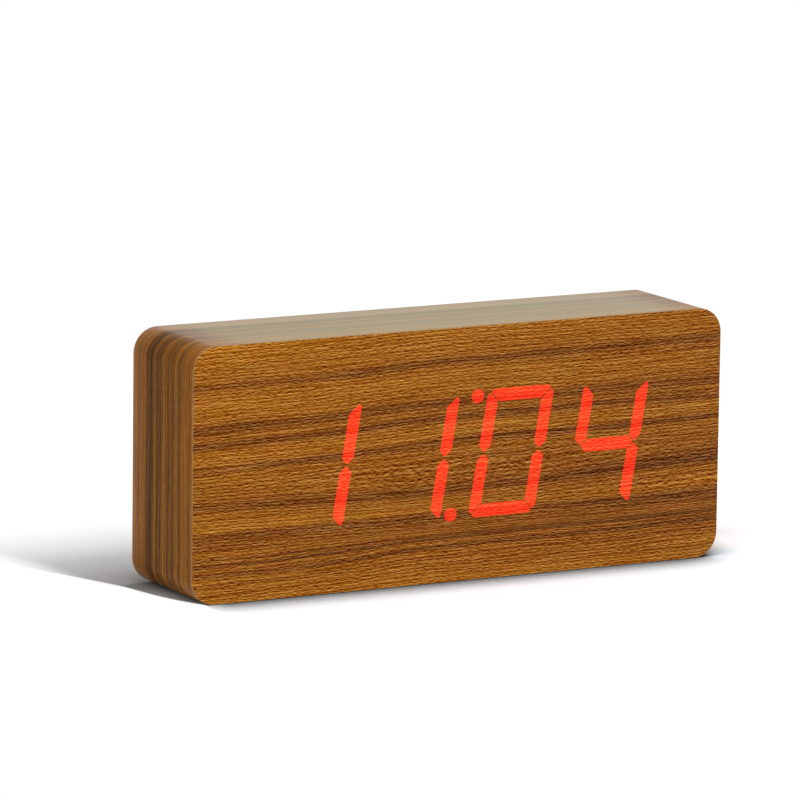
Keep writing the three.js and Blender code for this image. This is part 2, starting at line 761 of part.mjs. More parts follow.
// The twin lead, straight from the tray's wall and then down to the control board, in X and Y
function batteryLead() {
  const startX = trayLowX - solderGap;
  const endX = controlX + controlBoardWidth / 2 - leadEndInset;
  const endY = controlBoardBackY + solderGap;
  const quarter = Math.PI / 2;
  const line = [
    [startX, endY + leadBend],
    ...bend(endX + leadBend, endY, leadBend, quarter, 2 * quarter),
  ];
  const outline = bandOutline(line, leadThickness);
  const band = new THREE.ExtrudeGeometry(outline, { depth: leadWidth, bevelEnabled: false });
  return band.translate(0, 0, middleZ - leadDrop - leadWidth / 2);
}

// Finishes
function finish(color, roughness, metalness = 0, more = {}) {
  return new THREE.MeshStandardMaterial({ color, roughness, metalness, ...more });
}

const frontSheetFinish = finish(0xb5824c, 0.42, 0, { transparent: true, opacity: 0.4 });
const veneerFinish = finish(0xa4713f, 0.42);
const fibreboardFinish = finish(0xa98157, 0.9);
const housingFinish = finish(0x8f6234, 0.7);
const darkFillFinish = finish(0x8f6234, 0.5);
const litFinish = finish(0xff2a12, 0.4, 0, { emissive: 0xff2010 });
const circuitBoardFinish = finish(0x1f5a32, 0.5);
const blackPlasticFinish = finish(0x151515, 0.5);
const greyPlasticFinish = finish(0x2c2c2e, 0.45);
const steelFinish = finish(0xb9bcc0, 0.3, 1);
const nickelFinish = finish(0xcbcac4, 0.25, 1);
const cellFinish = finish(0x3a3d42, 0.35, 0.3);
const ribbonFinish = finish(0x8c8f93, 0.5);
const leadFinish = finish(0xb3231c, 0.5);

const clock = new THREE.Group();

function place(parent, name, geometry, material) {
  const mesh = new THREE.Mesh(geometry, material);
  mesh.name = name;
  parent.add(mesh);
  return mesh;
}

const litSegments = { 0: 'abcdef', 1: 'bc', 4: 'bcfg' };
const turnedLetter = { a: 'd', b: 'e', c: 'f', d: 'a', e: 'b', f: 'c', g: 'g' };
const dotNames = { 2: 'colon_lower_dot', 3: 'colon_upper_dot' };

// One display module with its lit segments named as they are seen, also where it is upside down
function addModule(index) {
  const number = index + 1;
  const upsideDown = index % 2 === 0;
  const module = new THREE.Group();
  module.position.set(displaySideShift + (index - (moduleCount - 1) / 2) * modulePitch, 0, displayZ);
  module.rotation.y = upsideDown ? Math.PI : 0;
  clock.add(module);
  const fills = moduleWindows(0, bodyFrontY, moduleBackY - pottingThickness);
  const dark = [];
  for (const letter of Object.keys(turnedLetter)) {
    const seen = upsideDown ? turnedLetter[letter] : letter;
    if (litSegments[shownDigits[index]].includes(seen)) {
      place(module, `digit_${number}_segment_${seen}`, fills[letter], litFinish);
    } else {
      dark.push(letter);
    }
  }
  if (number in dotNames) {
    place(module, dotNames[number], fills.dot, litFinish);
  } else {
    dark.push('dot');
  }
  place(module, `digit_${number}_housing`, moduleHousing(), housingFinish);
  place(module, `digit_${number}_resin`, modulePotting(dark), darkFillFinish);
}

function addCase() {
  place(clock, 'front_veneer', frontVeneer(), frontSheetFinish);
  place(clock, 'side_wrap', sideWrap(), veneerFinish);
  place(clock, 'rear_veneer', rearVeneer(), veneerFinish);
  place(clock, 'case_body', caseBody(), fibreboardFinish);
}

function addPanel() {
  place(clock, 'rear_panel', rearPanel(), blackPlasticFinish);
  const headY = panelFaceY;
  screwPlaces().forEach(([x, z], index) => {
    place(clock, `panel_screw_${index + 1}`, panelScrew(), steelFinish).position.set(x, headY, z);
  });
  place(clock, 'battery_door', batteryDoor(), blackPlasticFinish).position.set(hingeX, hingeY, middleZ);
}

function addBatteries() {
  for (let index = 0; index < cellCount; index += 1) {
    const tipRight = index % 2 === 0;
    const cell = place(clock, `battery_cell_${index + 1}`, batteryCell(), cellFinish);
    const flatX = tipRight ? bayLowX + contactBow + cellGap : bayHighX - contactBow - cellGap;
    cell.position.set(flatX, cellY, cellZ(index));
    cell.rotation.z = tipRight ? -Math.PI / 2 : Math.PI / 2;
  }
  const contacts = {
    battery_contact_plus: [bayHighX, -1, [0]],
    battery_contact_minus: [bayHighX, -1, [3]],
    battery_link_1: [bayLowX, 1, [0, 1]],
    battery_link_2: [bayHighX, -1, [1, 2]],
    battery_link_3: [bayLowX, 1, [2, 3]],
  };
  for (const [name, [wallX, inward, rows]] of Object.entries(contacts)) {
    place(clock, name, batteryContact(wallX, inward, rows), nickelFinish);
  }
}

function addControls() {
  const keys = [['set', 1], ['up', 0], ['down', -1]];
  for (const [name, step] of keys) {
    const x = controlX + step * buttonPitch;
    place(clock, `${name}_button`, buttonCap(), greyPlasticFinish).position.set(x, 0, buttonZ);
    place(clock, `${name}_key_switch`, keySwitch(), blackPlasticFinish).position.set(x, 0, buttonZ);
  }
  place(clock, 'sound_switch', slideSwitch(), steelFinish);
  place(clock, 'sound_switch_knob', slideKnob(), greyPlasticFinish);
  place(clock, 'dc_jack', dcJack(), blackPlasticFinish);
}

function addElectronics() {
  place(clock, 'display_board', displayBoard(), circuitBoardFinish);
  place(clock, 'control_board', controlBoard(), circuitBoardFinish);
  const buzzer = roundPart(buzzerRadius, buzzerHeight, buzzerPortDepth);
  place(clock, 'buzzer', buzzer, blackPlasticFinish).position.set(buzzerX, controlBoardBackY, buzzerZ);
  const microphone = roundPart(microphoneRadius, microphoneHeight, microphonePortDepth);
  place(clock, 'microphone', microphone, nickelFinish)
    .position.set(controlX, controlBoardBackY, microphoneZ);
  place(clock, 'coin_cell_holder', coinHolder(), blackPlasticFinish);
  place(clock, 'coin_cell', coinCell(), steelFinish);
  place(clock, 'ribbon_cable', ribbonCable(), ribbonFinish);
  place(clock, 'battery_lead', batteryLead(), leadFinish);
}

addCase();
for (let index = 0; index < moduleCount; index += 1) addModule(index);
addPanel();
addBatteries();
addControls();
addElectronics();

export default clock;
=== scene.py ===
"""Looks of a digital wooden alarm clock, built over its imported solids.

Sizes in the classes below are millimetres, in the part's own frame: +X to the right of the
display, +Y to the rear panel, +Z up. The meshes are scaled to metres as they are made.
"""

from __future__ import annotations

import logging
import math
from abc import ABC, abstractmethod
from dataclasses import dataclass
from enum import Enum
from functools import reduce
from typing import Iterable, Sequence, Union

import bmesh
import bpy
from mathutils import Matrix, Vector
from mathutils.geometry import delaunay_2d_cdt


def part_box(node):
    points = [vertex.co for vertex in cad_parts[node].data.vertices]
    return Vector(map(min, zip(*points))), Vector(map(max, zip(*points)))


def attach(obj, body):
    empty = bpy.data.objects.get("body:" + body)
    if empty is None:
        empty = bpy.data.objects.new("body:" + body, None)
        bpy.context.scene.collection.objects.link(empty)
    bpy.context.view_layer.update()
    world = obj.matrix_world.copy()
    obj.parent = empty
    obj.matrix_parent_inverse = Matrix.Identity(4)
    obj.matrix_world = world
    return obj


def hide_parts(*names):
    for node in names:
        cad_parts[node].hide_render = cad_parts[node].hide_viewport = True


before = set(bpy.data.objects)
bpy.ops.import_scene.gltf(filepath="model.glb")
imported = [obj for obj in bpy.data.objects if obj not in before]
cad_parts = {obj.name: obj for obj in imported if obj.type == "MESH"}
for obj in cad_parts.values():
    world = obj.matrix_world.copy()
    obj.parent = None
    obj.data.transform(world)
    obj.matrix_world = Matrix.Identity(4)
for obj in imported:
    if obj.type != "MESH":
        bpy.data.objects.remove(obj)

log = logging.getLogger("wooden_clock")

Point2 = tuple[float, float]
Point3 = tuple[float, float, float]
Outline = list[Point2]
Curve = tuple[Point2, ...]
Rgb = tuple[int, int, int]
Palette = tuple[tuple[float, Rgb], ...]
Color = tuple[float, float, float, float]
Piece = bpy.types.Object
Material = bpy.types.Material
Socket = bpy.types.NodeSocket
Value = Union[float, Sequence[float], Socket]

MM = 0.001
TINY = 1e-6
DISPLAY_POWER = 2.2
WHITE = (1.0, 1.0, 1.0, 1.0)
CLOCK_BODY = "clock_body"

# How shapes are cleaned, shaded, rounded and cut, in millimetres and degrees
WELD = 0.002
CREASE = 35
SLIGHT_TURN = 1
LEAST_TURN = 20
EASED_STEPS = 4
BEVEL_STEPS = 3
OVERRUN = 1

# Places that several pieces at the back share
MIDDLE_Z = 45
PANEL_Y = 22.2
HINGE = (72.7, 20.9)
INLET = (-34, 31)
BUTTON_Z = 56
BUTTON_X = {"set_button": -34, "up_button": -49, "down_button": -64}
CELL_PITCH = 10.9


def tint(*levels: int) -> tuple[float, ...]:
    """Turns red, green and blue as seen on a screen, 0 to 255, into a linear colour."""
    shares = [level / 255 for level in levels]
    return tuple(c / 12.92 if c <= 0.04045 else ((c + 0.055) / 1.055) ** 2.4 for c in shares) + (1.0,)


def coded(color: Sequence[float]) -> tuple[float, ...]:
    """Gives a linear colour as even steps for the eye, which a gamma node undoes."""
    return tuple(level ** (1 / DISPLAY_POWER) for level in color[:3]) + (1.0,)


def shaded(color: Sequence[float], factor: float, lift: float = 0.0) -> tuple[float, ...]:
    """Gives a darker or paler shade of a linear colour."""
    return tuple(min(1.0, level * factor + lift) for level in color[:3]) + (1.0,)


# Outlines


def signed_area(outline: Outline) -> float:
    """Gives the area inside an outline, negative where it runs clockwise."""
    pairs = zip(outline, outline[1:] + outline[:1])
    return sum(a[0] * b[1] - b[0] * a[1] for a, b in pairs) / 2


def anticlockwise(outline: Outline) -> Outline:
    """Gives the outline running anticlockwise."""
    return list(outline) if signed_area(outline) > 0 else list(reversed(outline))


def flipped(outline: Outline, across: int = 1, up: int = -1) -> Outline:
    """Mirrors an outline: -1 across swaps left and right, -1 up swaps top and bottom."""
    return [(across * u, up * v) for u, v in outline]


def drawn_in(outline: Outline, distance: float) -> Outline:
    """Moves an outline to its left, which is inwards where it runs anticlockwise.

    Args:
        outline: The corners in order.
        distance: How far each side moves.

    Returns:
        The moved corners, one for each old corner.
    """
    moved = []
    for index, here in enumerate(outline):
        before = Vector(here) - Vector(outline[index - 1])
        after = Vector(outline[(index + 1) % len(outline)]) - Vector(here)
        left_before = Vector((-before.y, before.x)).normalized()
        left_after = Vector((-after.y, after.x)).normalized()
        step = (left_before + left_after) * (distance / (1 + left_before.dot(left_after)))
        moved.append((here[0] + step.x, here[1] + step.y))
    return moved


def walked(outline: Outline, index: int, step: int, reach: float) -> tuple[Vector, list[int]]:
    """Walks along an outline.

    Args:
        outline: The outline.
        index: The corner to start from.
        step: 1 to walk forwards, -1 to walk backwards.
        reach: How far to walk.

    Returns:
        The place reached and the corners passed.
    """
    here, passed = Vector(outline[index]), []
    while True:
        index = (index + step) % len(outline)
        ahead = Vector(outline[index]) - here
        if ahead.length >= reach:
            return here + ahead.normalized() * reach, passed
        reach -= ahead.length
        here = here + ahead
        passed.append(index)


def eased(outline: Outline, radius: float) -> Outline:
    """Rounds the sharp corners of an outline.

    Args:
        outline: The outline.
        radius: The radius at each sharp corner.

    Returns:
        The outline with rounded corners.
    """
    rounded: dict[int, Outline] = {index: [point] for index, point in enumerate(outline)}
    for index, here in enumerate(outline):
        point = Vector(here)
        behind = Vector(outline[index - 1]) - point
        ahead = Vector(outline[(index + 1) % len(outline)]) - point
        turn = math.pi - behind.angle(ahead)
        if turn < math.radians(LEAST_TURN):
            continue
        reach = radius * math.tan(turn / 2)
        start, passed_behind = walked(outline, index, -1, reach)
        end, passed_ahead = walked(outline, index, 1, reach)
        for passed in passed_behind + passed_ahead:
            rounded[passed] = []
        rounded[index] = []
        for share in (k / EASED_STEPS for k in range(EASED_STEPS + 1)):
            place = start.lerp(point, share).lerp(point.lerp(end, share), share)
            rounded[index].append((place.x, place.y))
    return [point for points in rounded.values() for point in points]


def arc(centre: Point2, radius: float, start: float, end: float, steps: int) -> Outline:
    """Gives points along an arc in equal steps, from one angle to another in degrees."""
    angles = [math.radians(start + (end - start) * k / steps) for k in range(steps + 1)]
    return [(centre[0] + radius * math.cos(a), centre[1] + radius * math.sin(a)) for a in angles]


def circle(centre: Point2, radius: float, sides: int) -> Outline:
    """Gives the corners of a fine round outline."""
    return arc(centre, radius, 0, 360 * (sides - 1) / sides, sides - 1)


def rounded_box(centre: Point2, width: float, height: float, radius: float, steps: int) -> Outline:
    """Gives a rectangle with rounded corners.

    Args:
        centre: The rectangle's middle.
        width: Its whole width.
        height: Its whole height.
        radius: The radius of its corners.
        steps: The steps in each corner.

    Returns:
        The points, anticlockwise from the lower end of the right side.
    """
    outline: Outline = []
    for quarter, (side, rise) in enumerate([(1, 1), (-1, 1), (-1, -1), (1, -1)]):
        corner = (centre[0] + side * (width / 2 - radius), centre[1] + rise * (height / 2 - radius))
        outline += arc(corner, radius, 90 * quarter, 90 * (quarter + 1), steps)
    return outline


def rounded_rim(radius: float, top: float, reach: float, drop: float, *angles: float) -> Outline:
    """Gives the rounded rim of a turned piece, at angles in degrees from its wall to its top."""
    turns = [math.radians(angle) for angle in angles]
    return [(radius - reach * (1 - math.cos(a)), top - drop * (1 - math.sin(a))) for a in turns]


def rib(middle: float, foot: float, crest: float, root: float, face: float, rise: float) -> Outline:
    """Gives a rib's section on a face, with half its foot and half its crest on either side."""
    low, top = face - root, face + rise
    return [(middle - foot, low), (middle + foot, low), (middle + foot, face), (middle + crest, top),
            (middle - crest, top), (middle - foot, face)]


# Meshes


class Axis(Enum):
    """The axis that a bar runs along."""

    X = "X"
    Y = "Y"
    Z = "Z"

    def placed(self, u: float, v: float, depth: float) -> Point3:
        """Gives the point of a bar's outline at a depth on the axis."""
        return {Axis.X: (depth, v, u), Axis.Y: (u, depth, v), Axis.Z: (u, v, depth)}[self]


class MeshMaker:
    """Gathers points and faces in millimetres, and makes one object of them."""

    def __init__(self) -> None:
        """Starts with no points and no faces."""
        self.points: list[Point3] = []
        self.grain: list[Point2] = []
        self.faces: list[tuple[int, ...]] = []
        self.slots: list[int] = []
        self.flat: list[bool] = []

    def ring(self, points: Iterable[Point3], grain: Iterable[Point2] = ()) -> list[int]:
        """Adds points in order.

        Args:
            points: The new points.
            grain: Each point's place along and across the grain, if the piece keeps it.

        Returns:
            Their numbers.
        """
        first = len(self.points)
        self.points.extend(points)
        self.grain.extend(grain)
        return list(range(first, len(self.points)))

    def face(self, corners: Sequence[int], slot: int = 0, flat: bool = False) -> None:
        """Adds one face.

        Args:
            corners: The numbers of its points.
            slot: Its material slot.
            flat: Whether it is shaded flat.
        """
        self.faces.append(tuple(corners))
        self.slots.append(slot)
        self.flat.append(flat)

    def bridge(self, low: list[int], high: list[int], slot: int = 0, closed: bool = True) -> None:
        """Joins two rings of equal length with a band of faces.

        Args:
            low: The first ring.
            high: The second ring.
            slot: The material slot of the band.
            closed: Whether the band runs all the way round.
        """
        count = len(low)
        for k in range(count if closed else count - 1):
            after = (k + 1) % count
            self.face((low[k], low[after], high[after], high[k]), slot)

    def bar(self, rings: Sequence[list[int]], slot: int = 0) -> None:
        """Closes a row of rings to a solid, with a cap at both ends.

        Args:
            rings: The rings, of equal length.
            slot: The material slot of the solid.
        """
        for low, high in zip(rings, rings[1:]):
            self.bridge(low, high, slot)
        self.face(rings[0], slot)
        self.face(rings[-1][::-1], slot)

    def fill(self, rings: list[list[int]], slot: int, patches: Sequence[Outline] = (),
             patch_slot: int = 0) -> None:
        """Fills a flat region: inside the first ring, outside the others.

        Args:
            rings: The region's border and then its holes, all at one depth.
            slot: The material slot of the region.
            patches: Outlines inside the region whose faces get a slot of their own.
            patch_slot: That slot.
        """
        depth = self.points[rings[0][0]][1]
        numbers = [number for ring in rings for number in ring]
        loops: list[list[int]] = []
        flat = [Vector((self.points[n][0], self.points[n][2])) for n in numbers]
        start = 0
        for ring in rings:
            loop = list(range(start, start + len(ring)))
            runs_left = signed_area([(flat[n].x, flat[n].y) for n in loop]) > 0
            loops.append(loop if runs_left else loop[::-1])
            start += len(ring)
        for patch in patches:
            loops.append(list(range(len(flat), len(flat) + len(patch))))
            flat.extend(Vector(point) for point in patch)
            numbers.extend(self.ring((x, depth, z) for x, z in patch))
        _, _, made, old, _, homes = delaunay_2d_cdt(flat, [], loops, 1, TINY, True)
        holes = set(range(1, len(rings)))
        for triangle, home in zip(made, homes):
            if holes & set(home):
                continue
            patched = any(index >= len(rings) for index in home)
            corners = [numbers[old[corner][0]] for corner in triangle]
            self.face(corners, patch_slot if patched else slot, flat=True)

    def plate(self, outline: Outline, holes: Sequence[Outline], face_y: float, back_y: float,
              rounding: float, steps: int, patches: Sequence[Outline] = ()) -> MeshMaker:
        """Adds a closed plate in X and Z with a rounded edge round its seen face.

        Its faces get slot 0, its edges slot 1 and the patches slot 2.

        Args:
            outline: The plate's border.
            holes: The borders of its openings.
            face_y: The depth of the seen face.
            back_y: The depth of the other face.
            rounding: The radius of the rounded edge.
            steps: The steps of the rounding.
            patches: Outlines on the seen face with a slot of their own.

        Returns:
            This maker.
        """
        inward = 1 if back_y > face_y else -1
        borders = [anticlockwise(outline)] + [anticlockwise(hole)[::-1] for hole in holes]
        front: list[list[int]] = []
        back: list[list[int]] = []
        for border in borders:
            rings = []
            for angle in (math.pi / 2 * step / steps for step in range(steps + 1)):
                moved = drawn_in(border, rounding * (1 - math.sin(angle)))
                y = face_y + inward * rounding * (1 - math.cos(angle))
                rings.append(self.ring((x, y, z) for x, z in moved))
            rings.append(self.ring((x, back_y, z) for x, z in border))
            for low, high in zip(rings, rings[1:]):
                self.bridge(low, high, 1)
            front.append(rings[0])
            back.append(rings[-1])
        self.fill(front, 0, patches, 2)
        self.fill(back, 0)
        return self

    def prism(self, outline: Outline, low: float, high: float, axis: Axis = Axis.Y,
              slot: int = 0) -> MeshMaker:
        """Adds a closed bar, with its outline in X and Z, along Z in X and Y, or along X in Z and Y."""
        self.bar([self.ring(axis.placed(u, v, depth) for u, v in outline) for depth in (low, high)], slot)
        return self

    def bars(self, places: Iterable[Point2], radius: float, sides: int, low: float,
             high: float) -> MeshMaker:
        """Adds equal round bars along Y.

        Args:
            places: Their places in X and Z.
            radius: Their radius.
            sides: How many sides they have.
            low: Where they start.
            high: Where they end.

        Returns:
            This maker.
        """
        for place in places:
            self.prism(circle(place, radius, sides), low, high)
        return self

    def block(self, low: Point3, high: Point3) -> MeshMaker:
        """Adds a box between two corners."""
        outline = [(low[0], low[2]), (high[0], low[2]), (high[0], high[2]), (low[0], high[2])]
        return self.prism(outline, low[1], high[1])

    def lathe(self, profile: Sequence[Point2], sides: int, turn: Matrix,
              slots: Sequence[int] = ()) -> MeshMaker:
        """Adds a turned solid about the Y axis, whose profile starts and ends on that axis.

        Args:
            profile: Radius and depth of each step.
            sides: The number of sides.
            turn: Where the solid is moved and turned to.
            slots: The material slot of each step's band.

        Returns:
            This maker.
        """
        last: list[int] = []
        for step, (radius, y) in enumerate(profile):
            slot = slots[step - 1] if slots and step else 0
            outline = circle((0, 0), radius, sides) if radius > TINY else [(0, 0)]
            ring = self.ring((turn @ Vector((x, y, z))).to_tuple() for x, z in outline)
            if last and 1 in (len(last), len(ring)):
                for k in range(sides):
                    after = (k + 1) % sides
                    closing = (last[k], last[after], ring[0]) if len(ring) == 1 else ()
                    self.face(closing or (last[0], ring[after], ring[k]), slot)
            elif last:
                self.bridge(last, ring, slot)
            last = ring
        return self

    def build(self, name: str, materials: Sequence[Material], crease: float = 40.0) -> Piece:
        """Makes the object and links it to the scene.

        Args:
            name: The object's name.
            materials: Its materials, in slot order.
            crease: Edges sharper than this many degrees stay sharp.

        Returns:
            The new object.
        """
        mesh = bpy.data.meshes.new(name)
        mesh.from_pydata([Vector(p) * MM for p in self.points], [], self.faces)
        for material in materials:
            mesh.materials.append(material)
        mesh.polygons.foreach_set("material_index", self.slots)
        mesh.polygons.foreach_set("use_smooth", [not flat for flat in self.flat])
        if self.grain:
            layer = mesh.attributes.new("grain", "FLOAT_VECTOR", "POINT")
            layer.data.foreach_set("vector", [v for u, w in self.grain for v in (u * MM, w * MM, 0.0)])
        work = bmesh.new()
        work.from_mesh(mesh)
        bmesh.ops.recalc_face_normals(work, faces=work.faces)
        work.to_mesh(mesh)
        work.free()
        mesh.set_sharp_from_angle(angle=math.radians(crease))
        return linked(name, mesh)


def linked(name: str, data: bpy.types.ID) -> Piece:
    """Makes an object of its data and links it to the scene.

    Args:
        name: The object's name.
        data: Its mesh, lamp or camera.

    Returns:
        The new object.
    """
    made = bpy.data.objects.new(name, data)
    bpy.context.scene.collection.objects.link(made)
    return made


def settle(piece: Piece) -> Piece:
    """Applies every modifier of a piece.

    Args:
        piece: The object with its modifiers.

    Returns:
        The same object with a plain mesh.
    """
    graph = bpy.context.evaluated_depsgraph_get()
    mesh = bpy.data.meshes.new_from_object(piece.evaluated_get(graph))
    piece.modifiers.clear()
    piece.data = mesh
    return piece


def soften(piece: Piece, width: float) -> Piece:
    """Rounds the sharp edges of a piece.

    Args:
        piece: The object.
        width: How wide the rounding is, in millimetres.

    Returns:
        The same object.
    """
    work = bmesh.new()
    work.from_mesh(piece.data)
    bmesh.ops.remove_doubles(work, verts=work.verts, dist=WELD * MM)
    bmesh.ops.dissolve_limit(work, angle_limit=math.radians(SLIGHT_TURN), verts=work.verts,
                             edges=work.edges)
    bmesh.ops.recalc_face_normals(work, faces=work.faces)
    work.to_mesh(piece.data)
    work.free()
    piece.data.shade_smooth()
    bevel = piece.modifiers.new("edge", "BEVEL")
    bevel.width = width * MM
    bevel.segments = BEVEL_STEPS
    bevel.limit_method = "ANGLE"
    bevel.angle_limit = math.radians(CREASE)
    bevel.harden_normals = True
    return settle(piece)


def shade_round(piece: Piece) -> None:
    """Shades a piece smooth between its sharp edges."""
    piece.data.shade_smooth()
    piece.data.set_sharp_from_angle(angle=math.radians(CREASE))


class Fit(Enum):
    """What a second shape does to a first one."""

    JOIN = "UNION"
    CUT = "DIFFERENCE"


def shaped(base: MeshMaker, steps: Iterable[tuple[Fit, MeshMaker]], name: str,
           materials: Sequence[Material]) -> Piece:
    """Joins shapes to a base and cuts others out of it, in their order.

    Args:
        base: The first shape.
        steps: The other shapes, each with what it does.
        name: The new object's name.
        materials: Its materials.

    Returns:
        The new object.
    """
    piece = base.build(name, materials)
    for fit, tool in steps:
        other = tool.build(name + "_tool", materials)
        step = piece.modifiers.new("step", "BOOLEAN")
        step.operation = fit.value
        step.solver = "EXACT"
        step.object = other
        settle(piece)
        bpy.data.objects.remove(other)
    return piece


# Shader writing


class GrainSource(Enum):
    """How the grain lies on a piece."""

    FLAT = "along X"
    WRAP = "round the sides, kept in the mesh"


class Graph:
    """Writes the shader nodes of a material or a world, with plain arithmetic on their sockets."""

    def __init__(self, owner: Union[Material, bpy.types.World]) -> None:
        """Starts with no nodes.

        Args:
            owner: The material or world that the nodes belong to.
        """
        self.owner = owner
        self.owner.use_nodes = True
        self.tree = self.owner.node_tree
        self.tree.nodes.clear()

    @classmethod
    def of(cls, name: str) -> Graph:
        """Starts the graph of a new material."""
        return cls(bpy.data.materials.new(name))

    def feed(self, socket: Socket, value: Value) -> None:
        """Links a socket to another, or sets its number or colour.

        Args:
            socket: The socket that is fed.
            value: The other socket, or the number or colour.
        """
        if isinstance(value, bpy.types.NodeSocket):
            self.tree.links.new(value, socket)
        else:
            socket.default_value = value

    def add(self, kind: str, inputs: dict[Union[str, int], Value] | None = None,
            **settings: object) -> bpy.types.Node:
        """Adds one node.

        Args:
            kind: The node's type name.
            inputs: What each of its inputs gets.
            **settings: Its own settings.

        Returns:
            The node.
        """
        node = self.tree.nodes.new(kind)
        for key, setting in settings.items():
            setattr(node, key, setting)
        for key, value in (inputs or {}).items():
            self.feed(node.inputs[key], value)
        return node

    def calc(self, operation: str, *values: Value) -> Socket:
        """Gives the result of one step of arithmetic."""
        return self.add("ShaderNodeMath", dict(enumerate(values)), operation=operation).outputs[0]

    def plus(self, *values: Value) -> Value:
        """Adds up any number of values."""
        return reduce(lambda total, value: self.calc("ADD", total, value), values)

    def times(self, one: Value, other: Value) -> Socket:
        """Multiplies two values."""
        return self.calc("MULTIPLY", one, other)

    def minus(self, one: Value, other: Value) -> Socket:
        """Takes one value from another."""
        return self.calc("SUBTRACT", one, other)

    def larger(self, one: Value, other: Value) -> Socket:
        """Gives the larger of two values."""
        return self.calc("MAXIMUM", one, other)

    def scaled(self, value: Value, factor: float, extra: float) -> Socket:
        """Multiplies a value and adds a number to it."""
        return self.calc("MULTIPLY_ADD", value, factor, extra)

    def smooth(self, value: Value, low: float, high: float, top: float = 1.0) -> Socket:
        """Gives a smooth step from zero to a top, between two places."""
        inputs = {"Value": value, "From Min": low, "From Max": high, "To Max": top}
        return self.add("ShaderNodeMapRange", inputs, interpolation_type="SMOOTHSTEP").outputs[0]

    def point(self, x: Value, y: Value, z: Value) -> Socket:
        """Joins three values to a point."""
        return self.add("ShaderNodeCombineXYZ", {0: x, 1: y, 2: z}).outputs[0]

    def joined(self, operation: str, one: Value, other: Value) -> Socket:
        """Gives the result of one step of arithmetic on two points or colours."""
        return self.add("ShaderNodeVectorMath", {0: one, 1: other}, operation=operation).outputs[0]

    def grown(self, point: Value, factor: Value) -> Socket:
        """Multiplies each part of a point or colour by one number."""
        return self.add("ShaderNodeVectorMath", {0: point, "Scale": factor}, operation="SCALE").outputs[0]

    def parts(self, point: Value) -> tuple[Socket, Socket, Socket]:
        """Gives the three parts of a point, given in metres, in millimetres."""
        split = self.add("ShaderNodeSeparateXYZ", {0: self.grown(point, 1 / MM)})
        return (split.outputs[0], split.outputs[1], split.outputs[2])

    def place(self, source: GrainSource = GrainSource.FLAT) -> tuple[Socket, Socket, Socket]:
        """Gives the place on the piece in millimetres.

        Args:
            source: How the grain lies on the piece.

        Returns:
            The place along the grain, across it, and in depth.
        """
        if source is GrainSource.WRAP:
            return self.parts(self.add("ShaderNodeAttribute", attribute_name="grain").outputs["Vector"])
        x, y, z = self.parts(self.add("ShaderNodeTexCoord").outputs["Object"])
        return (x, z, y)

    def spread(self, place: Sequence[Value], cell: Sequence[float]) -> Socket:
        """Counts a place in cells of a size, in millimetres."""
        return self.point(*(self.times(part, 1 / size) for part, size in zip(place, cell)))

    def noise(self, at: Value, detail: float = 2.0, roughness: float = 0.5) -> Socket:
        """Gives smooth noise from about -0.5 to 0.5, at a point that is counted in its cells."""
        inputs = {"Vector": at, "Scale": 1.0, "Detail": detail, "Roughness": roughness}
        return self.minus(self.add("ShaderNodeTexNoise", inputs).outputs[0], 0.5)

    def curve(self, value: Value, points: Sequence[Point2]) -> Socket:
        """Gives a smooth curve's height at a value.

        Args:
            value: Where on the curve.
            points: The curve's points, from left to right.

        Returns:
            The height.
        """
        low, high = points[0][0], points[-1][0]
        floor = min(y for _, y in points)
        rise = max(max(y for _, y in points) - floor, TINY)
        share = self.add("ShaderNodeMapRange", {"Value": value, "From Min": low, "From Max": high})
        node = self.add("ShaderNodeFloatCurve", {"Value": share.outputs[0]})
        line = node.mapping.curves[0]
        while len(line.points) < len(points):
            line.points.new(0.5, 0.5)
        for knot, (x, y) in zip(line.points, points):
            knot.location = ((x - low) / (high - low), (y - floor) / rise)
            knot.handle_type = "AUTO_CLAMPED"
        node.mapping.update()
        return self.scaled(node.outputs[0], rise, floor)

    def ramp(self, value: Value, stops: Sequence[tuple[float, Sequence[float]]]) -> Socket:
        """Gives a colour along a row of colours.

        Args:
            value: Where in the row.
            stops: Each colour with its place, from low to high.

        Returns:
            The colour.
        """
        node = self.add("ShaderNodeValToRGB", {0: value})
        row = node.color_ramp
        while len(row.elements) < len(stops):
            row.elements.new(0.5)
        for element, (at, color) in zip(row.elements, stops):
            element.position = at
            element.color = color
        return node.outputs[0]

    def between(self, value: Value, low: Sequence[float], high: Sequence[float]) -> Socket:
        """Gives a colour between a dark and a pale one, for values from about 0 to 1."""
        return self.ramp(value, [(0.1, low), (0.9, high)])

    def mix(self, share: Value, first: Value, second: Value) -> Socket:
        """Mixes two colours."""
        node = self.add("ShaderNodeMix", {0: share, 6: first, 7: second}, data_type="RGBA")
        return node.outputs[2]

    def bump(self, height: Value, depth: float, strength: float, edge: float = 0.0) -> Socket:
        """Gives the surface's direction with a relief on it.

        Args:
            height: The relief, about 0 to 1.
            depth: How deep it is, in millimetres.
            strength: How much of it shows.
            edge: How wide sharp edges are worn, in millimetres.

        Returns:
            The direction.
        """
        inputs: dict[Union[str, int], Value] = {"Height": height, "Strength": strength,
                                                "Distance": depth * MM}
        if edge:
            inputs["Normal"] = self.add("ShaderNodeBevel", {"Radius": edge * MM}, samples=6).outputs[0]
        return self.add("ShaderNodeBump", inputs).outputs[0]

    def seen(self) -> Socket:
        """Gives 1 for rays from the camera, in a reflection or through a clear piece, else 0."""
        seen = self.add("ShaderNodeLightPath").outputs
        return reduce(self.larger, (seen[f"Is {kind} Ray"] for kind in ("Camera", "Glossy", "Transmission")))

